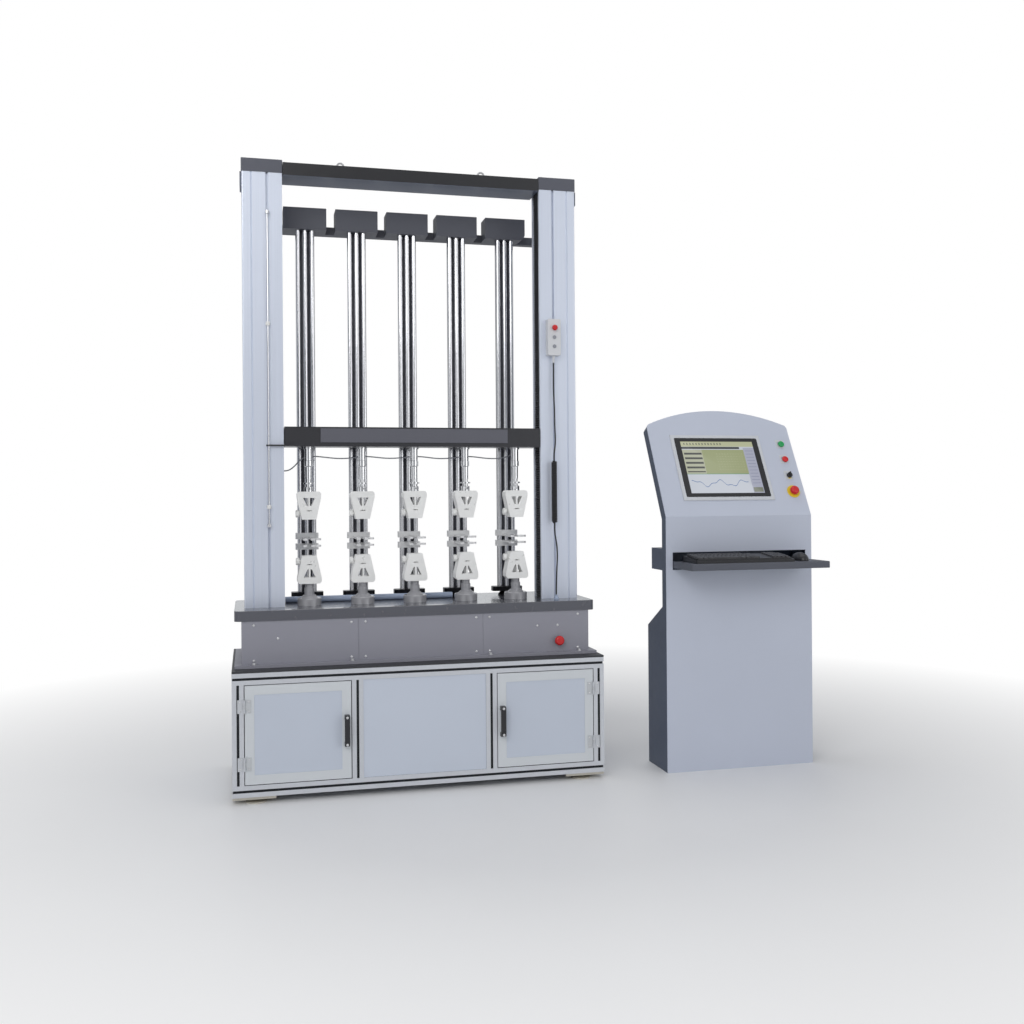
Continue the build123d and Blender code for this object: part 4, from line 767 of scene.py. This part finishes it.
def line_points(curve_object):
    """The points along a curve's own centre line, in metres."""
    bare = curve_object.data.copy()
    bare.bevel_depth = 0
    bare.resolution_u = 24
    probe = bpy.data.objects.new("probe", bare)
    mesh = bpy.data.meshes.new_from_object(probe)
    points = np.array([v.co for v in mesh.vertices])
    bpy.data.meshes.remove(mesh)
    bpy.data.objects.remove(probe)
    bpy.data.curves.remove(bare)
    return points


def length_of(points):
    """The sum of a line's straight steps."""
    return float(np.linalg.norm(np.diff(points, axis=0), axis=1).sum())


def tube(line, radius, sides=12):
    """A round tube along a line of points: each ring's frame is the last one's, turned the least."""
    tangent = np.gradient(line, axis=0)
    tangent /= np.linalg.norm(tangent, axis=1)[:, None]
    side = np.cross(tangent[0], [0.3, 1.0, 0.2])
    angle = np.linspace(0, 2 * np.pi, sides, endpoint=False)
    rings = []
    for point, along in zip(line, tangent):
        side = side - along * (side @ along)
        side /= np.linalg.norm(side)
        up = np.cross(along, side)
        rings.append(point + radius * (np.outer(np.cos(angle), side) + np.outer(np.sin(angle), up)))
    ends = [np.repeat(line[i][None], sides, axis=0) for i in (0, -1)]
    return grid(np.stack([ends[0], *rings, ends[1]]), wrap=True)


PENDANT_X, PENDANT_Y = 596.0, 186.5
RELIEF_END = 1750.0
COIL_X, COIL_Y, COIL_TOP, COIL_LOW = 592.0, 174.0, 1331.0, 1058.0
CORD_RADIUS = 3.25
COIL_RADIUS = 13.0
COIL_TURNS = 38
TURN_STEPS = 12
COIL_END_GAP = 2.0
cord_above = [
    (PENDANT_X, PENDANT_Y, RELIEF_END),
    (PENDANT_X, PENDANT_Y, 1705.0),
    (594.0, 184.0, 1650.0),
    (595.5, 182.0, 1596.0),
    (597.5, 181.0, 1540.0),
    (597.0, 179.0, 1484.0),
    (599.5, 177.5, 1430.0),
    (598.0, 175.5, 1392.0),
    (COIL_X, COIL_Y, 1362.0),
]
cord_below = [
    (COIL_X, COIL_Y, 1020.0),
    (600.0, 168.0, 968.0),
    (601.0, 164.0, 912.0),
    (596.0, 160.0, 860.0),
    (593.5, 157.0, 808.0),
    (592.0, 155.0, 778.0),
    (592.0, 155.0, BED_TOP + 20),
]


def curly_turns():
    """The spring-like middle of the pendant's cord: a helix that eases in and out of its axis."""
    steps = COIL_TURNS * TURN_STEPS
    share = np.linspace(0, 1, steps + 1)
    ease = np.clip(np.minimum(share, 1 - share) * COIL_TURNS, 0, 1)
    reach = (COIL_RADIUS - CORD_RADIUS) * ease
    angle = share * COIL_TURNS * 2 * np.pi
    x = COIL_X + reach * np.cos(angle)
    y = COIL_Y + reach * np.sin(angle)
    z = COIL_TOP - COIL_END_GAP + (COIL_LOW - COIL_TOP + 2 * COIL_END_GAP) * share
    return [tuple(p) for p in np.stack([x, y, z], axis=1)]


cord_route = cord_above + curly_turns() + cord_below
pendant_cord = cord_curve("pendant_curly_cord", cord_route, CORD_RADIUS, cord_finish, 2)
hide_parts("pendant_cord", "pendant_cord_sleeve")
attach(pendant_cord, "root")
length_of(line_points(pendant_cord))

CABLE_Y = 304.0
CABLE_RADIUS = 2.6
CABLE_CLIP = (-575.0, 345.0, 1372.0)
cell_cable_route = [
    CABLE_CLIP,
    (-575.0, 345.0, 1340.0),
    (-566.0, 344.0, 1308.0),
    (-545.0, 340.0, 1290.0),
    (-517.0, 330.0, 1292.0),
    (-494.0, 318.0, 1310.0),
    (-476.0, 308.0, 1332.0),
    (-452.0, CABLE_Y, 1348.0),
    (-420.0, CABLE_Y + 1, 1352.0),
    (-372.0, CABLE_Y + 2, 1347.0),
    (-316.0, CABLE_Y + 1, 1341.0),
    (-262.0, CABLE_Y, 1343.0),
    (-220.0, CABLE_Y, 1351.0),
    (-172.0, CABLE_Y + 1, 1349.0),
    (-112.0, CABLE_Y + 2, 1342.0),
    (-52.0, CABLE_Y + 1, 1344.0),
    (0.0, CABLE_Y, 1351.0),
    (50.0, CABLE_Y + 1, 1349.0),
    (108.0, CABLE_Y + 2, 1341.0),
    (166.0, CABLE_Y + 1, 1343.0),
    (220.0, CABLE_Y, 1351.0),
    (268.0, CABLE_Y + 1, 1350.0),
    (326.0, CABLE_Y + 2, 1342.0),
    (380.0, CABLE_Y + 1, 1342.0),
    (418.0, CABLE_Y, 1350.0),
    (438.0, CABLE_Y, 1362.0),
    (448.0, CABLE_Y - 1, 1374.0),
    (448.0, CABLE_Y - 1, CROSSHEAD_LOW),
]
cable_guide = cord_curve("cable_guide", cell_cable_route, CABLE_RADIUS, cable_finish)
cable_line = line_points(cable_guide)
bpy.data.objects.remove(cable_guide)
cable_shape = tube(cable_line / MM - SET_SHIFT, CABLE_RADIUS)
cell_cable = piece("load_cell_cable_run", cable_shape, cable_finish, None,
                   60.0, ("load_cell_cable",))
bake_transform(cell_cable)


# Keyboard, mouse and screen

KEYBOARD_X, KEYBOARD_Y = 1310.0, -112.0
KEY_PITCH = 18.6
KEY_GAP = 2.6
KEY_ROWS_LEFT = -205.0
NUMBER_BLOCK_LEFT = 142.0
FUNCTION_ROW_GAP = 1.15
KEY_RISE = math.atan2(11, 116)
KEYS_PLACE = (KEYBOARD_X - 6, KEYBOARD_Y + 43, SHELF_TOP + 27.5)


def key_cap(pitches=1.0):
    """A cap as wide as so many pitches, less the gap to the next one, and wider at its foot."""
    return rounded_block(pitches * KEY_PITCH - KEY_GAP, 15.5, 7.0, 2.0, 1.2, 3, 1.12)


def keyboard_keys():
    """Six rows of caps, with wider ones at the ends of rows, a space bar and a number block.

    A row is its caps' widths and its distance from the function row, both in pitches.
    """
    rows = [
        ([1.0] * 13, 0.0), ([1.0] * 13 + [2.0], 1.15), ([1.5] + [1.0] * 12 + [1.5], 2.15),
        ([1.8] + [1.0] * 11 + [2.2], 3.15), ([2.3] + [1.0] * 10 + [2.7], 4.15),
        ([1.4, 1.2, 1.4, 6.2, 1.4, 1.2, 2.2], 5.15),
    ]
    shapes = []
    for widths, line in rows:
        cursor = KEY_ROWS_LEFT
        for width in widths:
            middle = cursor + width * KEY_PITCH / 2
            shapes.append(shifted(key_cap(width), middle, -line * KEY_PITCH, 0))
            cursor += width * KEY_PITCH
    block = [(column, line + FUNCTION_ROW_GAP) for line in range(5) for column in range(4)]
    block += [(column, 0) for column in range(3)]
    for column, line in block:
        x = NUMBER_BLOCK_LEFT + column * KEY_PITCH
        shapes.append(shifted(key_cap(), x, -line * KEY_PITCH, 0))
    tilt = Matrix.Translation(KEYS_PLACE) @ Matrix.Rotation(KEY_RISE, 4, "X")
    return moved(joined(shapes), tilt)


key_finish = moulded("key_plastic", (0.034, 0.034, 0.038), 0.45)
piece("keyboard_keys", keyboard_keys(), key_finish, "shelf", 30.0)


# Monitor: a black bezel in the silver rim and a plain working screen behind it

MONITOR_X = CONSOLE_MID - 28.0
MONITOR_SLOPE = 240.0
SCREEN_WIDE, SCREEN_HIGH = 346.0, 262.0
SCREEN_HEIGHT = 4.5
on_monitor = head_frame(MONITOR_X, MONITOR_SLOPE)


def bezel_frame(wide, high, inner_wide, inner_high, low, top, edge):
    """A flat frame between two rounded rectangles, its outer edge sloped."""
    outer = rounded_ring(wide, high, 6.0)
    rim = rounded_ring(wide - 2 * edge, high - 2 * edge, 5.0)
    inner = rounded_ring(inner_wide, inner_high, 1.5)
    levels = ((outer, low), (outer, top - edge), (rim, top), (inner, top), (inner, low))
    rings = [np.column_stack([ring, np.full(len(ring), z)]) for ring, z in levels]
    return grid(np.stack(rings), wrap=True)


bezel = bezel_frame(398.0, 298.0, SCREEN_WIDE, SCREEN_HIGH, 3.9, 6.0, 0.9)
bezel_finish = moulded("bezel_plastic", (0.012, 0.012, 0.014), 0.22, relief=0.05)
piece("monitor_bezel", moved(bezel, on_monitor), bezel_finish, "root")


def screen_picture():
    """Panels, rows and buttons, placed by shares of the screen's width and height."""
    made = Finish("screen_picture", (0.01, 0.01, 0.012), 0.16, coat=0.6)
    x, y, z = made.axes()
    centre = at(MONITOR_X, 0, 0)[0]
    low = on_monitor @ Matrix.Translation((0, -SCREEN_HIGH / 2, SCREEN_HEIGHT))
    origin = at(*low.translation)
    u = (x - centre) / (SCREEN_WIDE * MM) + 0.5
    up = (y - float(origin[1])) * math.sin(HEAD_LEAN) + (z - float(origin[2])) * math.cos(HEAD_LEAN)
    v = up / (SCREEN_HIGH * MM)

    def area(u0, u1, v0, v1):
        return u.within(u0, u1) * v.within(v0, v1)

    def stripes(value, count, share):
        """1 on the first share of each of so many equal bands."""
        return (value * count).fraction().below(share)

    paper = (0.70, 0.74, 0.82)
    tooth = made.noise(420.0, 2.0)
    olive = made.mix(tooth, (0.36, 0.40, 0.20), (0.46, 0.50, 0.27))
    picture = made.mix(area(0.27, 0.85, 0.37, 0.84), paper, olive)
    dots = stripes(u, 26.0, 0.22) * stripes(v, 20.0, 0.26) * area(0.44, 0.83, 0.42, 0.78)
    picture = made.mix(dots * 0.8, picture, (0.72, 0.74, 0.50))
    picture = made.mix(area(0.0, 0.27, 0.37, 0.84), picture, (0.55, 0.57, 0.42))
    rows = stripes(v - 0.385, 11.2, 0.42) * area(0.02, 0.26, 0.40, 0.82)
    picture = made.mix(rows, picture, (0.055, 0.06, 0.05))
    picture = made.mix(area(0.0, 1.0, 0.90, 1.0), picture, (0.60, 0.62, 0.40))
    marks = stripes(u, 24.0, 0.34) * area(0.04, 0.56, 0.935, 0.972)
    picture = made.mix(marks, picture, (0.12, 0.13, 0.11))
    picture = made.mix(area(0.0, 0.80, 0.855, 0.895), picture, (0.045, 0.05, 0.05))
    picture = made.mix(area(0.85, 1.0, 0.0, 0.88), picture, (0.50, 0.52, 0.64))
    lines = stripes(v, 16.0, 0.16) * area(0.87, 0.98, 0.15, 0.84)
    picture = made.mix(lines, picture, (0.30, 0.32, 0.45))
    picture = made.mix(area(0.86, 0.99, 0.02, 0.11), picture, (0.26, 0.28, 0.22))
    picture = made.mix(area(0.0, 0.85, 0.362, 0.372), picture, (0.10, 0.34, 0.20))
    wave = ((u * 19.0).sine() * 0.05 + (u * 47.0).sine() * 0.02 + 0.19 - v).size().below(0.006)
    picture = made.mix(wave * area(0.04, 0.81, 0.05, 0.34), picture, (0.09, 0.19, 0.45))
    made.set("Emission Color", picture)
    made.set("Emission Strength", 0.72)
    made.bump(tooth, 0.02, 0.00005)
    made.set("Base Color", made.mix(tooth, (0.008, 0.008, 0.01), (0.014, 0.014, 0.016)))
    return made


GLASS = 0.5
glass = rounded_block(SCREEN_WIDE + 1, SCREEN_HIGH + 1, GLASS, 2.0, 0.1)
glass = shifted(glass, 0, 0, SCREEN_HEIGHT - GLASS)
piece("monitor_screen", moved(glass, on_monitor), screen_picture(), "root")

# Square trim plates under the round collars of the start key, the halt key and the selector
PANEL_CONTROL_X = 1658.0
START_SLOPE, HALT_SLOPE, SELECTOR_SLOPE = 358.0, 279.0, 197.0
plates = []
for slope in (START_SLOPE, HALT_SLOPE, SELECTOR_SLOPE):
    plate = bezel_frame(38.0, 44.0, 22.0, 22.0, 0.0, 1.6, 0.8)
    plates.append(moved(plate, head_frame(PANEL_CONTROL_X - 3, slope + 4)))
piece("control_plates", joined(plates), silver_finish, "root")

# Lenses of the two lit keys, wider than their stems and rounded towards the middle
for key_body, slope, made, slot_name in (
    ("start_key", START_SLOPE, green_finish, "green_plastic"),
    ("halt_key", HALT_SLOPE, red_finish, "red_plastic"),
):
    lens = turned([(14.5, 6.5), (14.5, 9.6), (13.2, 11.2), (6.0, 12.4), (0.0, 12.8)], 36)
    piece(f"{key_body}_lens", moved(lens, head_frame(PANEL_CONTROL_X, slope)), made, key_body)

# Dark guard strips behind each station's rods
GUARD_BACK = 452.0
GUARD_TOP = 2326.0
guard = rounded_block(76.0, 2.0, GUARD_TOP - ROD_FOOT_TOP, 0.9, 0.5, 3)
guards = [shifted(guard, x, GUARD_BACK, ROD_FOOT_TOP) for x in STATIONS]
piece("rod_guard_strips", joined(guards), head_finish, "root")

# Bright screws at both ends of each door handle
HANDLE_X, HANDLE_FACE = 313.5, -32.0
for side, name in SIDES:
    ends = [(side * HANDLE_X, HANDLE_FACE, z) for z in (213.0, 319.0)]
    piece(f"{name}_handle_screws", many(button_screw(5.2, 1.6), ends, TO_FRONT), bolt_finish,
          f"{name}_door")


# Camera, floor and light

CAMERA_PLACE = (-677.35, -4198.35, 1187.0)
CAMERA_YAW = math.radians(-13.9)
CAMERA_ROLL = -0.0075
CAMERA_LENS = 37.27
CAMERA_SHIFT = -18 / 1024
FLOOR_SIDE = 30.0
FADE_START, FADE_LENGTH = 1.2, 2.6
DAYLIGHT = 0.42
REFLECTED = 0.5


def link(thing):
    bpy.context.scene.collection.objects.link(thing)
    return thing


def place_camera():
    """A level camera in front of the machine's left half, turned towards the console."""
    camera = bpy.data.cameras.new("camera")
    camera.lens = CAMERA_LENS
    camera.sensor_width = 36.0
    camera.shift_y = CAMERA_SHIFT
    level = Matrix.Rotation(math.pi / 2, 4, "X")
    turn = Matrix.Rotation(CAMERA_YAW, 4, "Z") @ level @ Matrix.Rotation(CAMERA_ROLL, 4, "Z")
    holder = link(bpy.data.objects.new("camera", camera))
    holder.matrix_world = Matrix.Translation(at(*CAMERA_PLACE)) @ turn
    bpy.context.scene.camera = holder


def lay_floor():
    """A pale floor that the camera sees fade to white with the distance from the machine."""
    mesh = bpy.data.meshes.new("floor")
    side = FLOOR_SIDE
    corners = [(-side, -side, 0), (side, -side, 0), (side, side, 0), (-side, side, 0)]
    mesh.from_pydata(corners, [], [(0, 1, 2, 3)])
    made = Finish("floor_paint", (0.90, 0.90, 0.90), 0.5)
    made.set("Base Color", made.mix(made.noise(3.0, 3.0), (0.89, 0.89, 0.89), (0.91, 0.91, 0.91)))
    x, y, z = made.axes()
    far = ((x * x + y * y).root() - FADE_START) / FADE_LENGTH
    seen = made.node("ShaderNodeLightPath")
    glow = made.node("ShaderNodeEmission", Color=(1, 1, 1, 1), Strength=1.0)
    links = made.tree.links
    fade = made.tree.nodes.new("ShaderNodeMixShader")
    feed(made.tree, fade.inputs[0], far.limited() * seen)
    links.new(made.shader.outputs[0], fade.inputs[1])
    links.new(glow.socket, fade.inputs[2])
    links.new(fade.outputs[0], made.tree.nodes["Material Output"].inputs[0])
    mesh.materials.append(made.material)
    link(bpy.data.objects.new("floor", mesh))


def light_world():
    """Even daylight, with pale and dark bands round the horizon that only reflections show."""
    world = bpy.data.worlds.new("studio")
    bpy.context.scene.world = world
    world.use_nodes = True
    tree = world.node_tree
    new, links = tree.nodes.new, tree.links.new
    background = tree.nodes["Background"]
    background.inputs["Color"].default_value = (0.93, 0.95, 1.0, 1.0)
    background.inputs["Strength"].default_value = DAYLIGHT
    white = new("ShaderNodeBackground")
    white.inputs["Color"].default_value = (1.0, 1.0, 1.0, 1.0)
    path = new("ShaderNodeLightPath")
    direction = new("ShaderNodeTexCoord")
    parts = new("ShaderNodeSeparateXYZ")
    links(direction.outputs["Generated"], parts.inputs[0])
    east, north = Wire(tree, parts.outputs[0]), Wire(tree, parts.outputs[1])
    azimuth = east.maths("ARCTAN2", east, north)
    bands = (azimuth * 5.0 + 1.1).sine() * 0.5 + 0.5
    studio = new("ShaderNodeMix")
    studio.data_type = "RGBA"
    dark, pale = [socket for socket in studio.inputs if socket.type == "RGBA"]
    dark.default_value = (0.16, 0.17, 0.19, 1.0)
    pale.default_value = (2.1, 2.15, 2.2, 1.0)
    feed(tree, studio.inputs["Factor"], bands)
    glossy = new("ShaderNodeBackground")
    glossy.inputs["Strength"].default_value = REFLECTED
    links([socket for socket in studio.outputs if socket.type == "RGBA"][0], glossy.inputs["Color"])
    shine = new("ShaderNodeMixShader")
    links(path.outputs["Is Glossy Ray"], shine.inputs[0])
    links(background.outputs[0], shine.inputs[1])
    links(glossy.outputs[0], shine.inputs[2])
    mix = new("ShaderNodeMixShader")
    links(path.outputs["Is Camera Ray"], mix.inputs[0])
    links(shine.outputs[0], mix.inputs[1])
    links(white.outputs[0], mix.inputs[2])
    links(mix.outputs[0], tree.nodes["World Output"].inputs[0])


def lamp(name, place, target, size, power):
    """A rectangular lamp at a place in metres, aimed at a target."""
    light = bpy.data.lights.new(name, "AREA")
    light.shape = "RECTANGLE"
    light.size, light.size_y = size
    light.energy = power
    holder = link(bpy.data.objects.new(name, light))
    holder.location = place
    aim = Vector(target) - Vector(place)
    holder.rotation_euler = aim.to_track_quat("-Z", "Y").to_euler()


def stage_scene():
    place_camera()
    lay_floor()
    light_world()
    lamp("key", (-3.2, -5.2, 4.2), (0.0, 0.0, 1.2), (3.5, 3.0), 120.0)
    lamp("fill", (4.2, -4.6, 2.6), (0.0, 0.0, 1.0), (3.0, 3.0), 42.0)
    lamp("top", (0.0, 0.3, 5.2), (0.0, 0.0, 1.0), (5.0, 3.0), 45.0)
    bpy.context.scene.view_settings.view_transform = "Standard"


stage_scene()
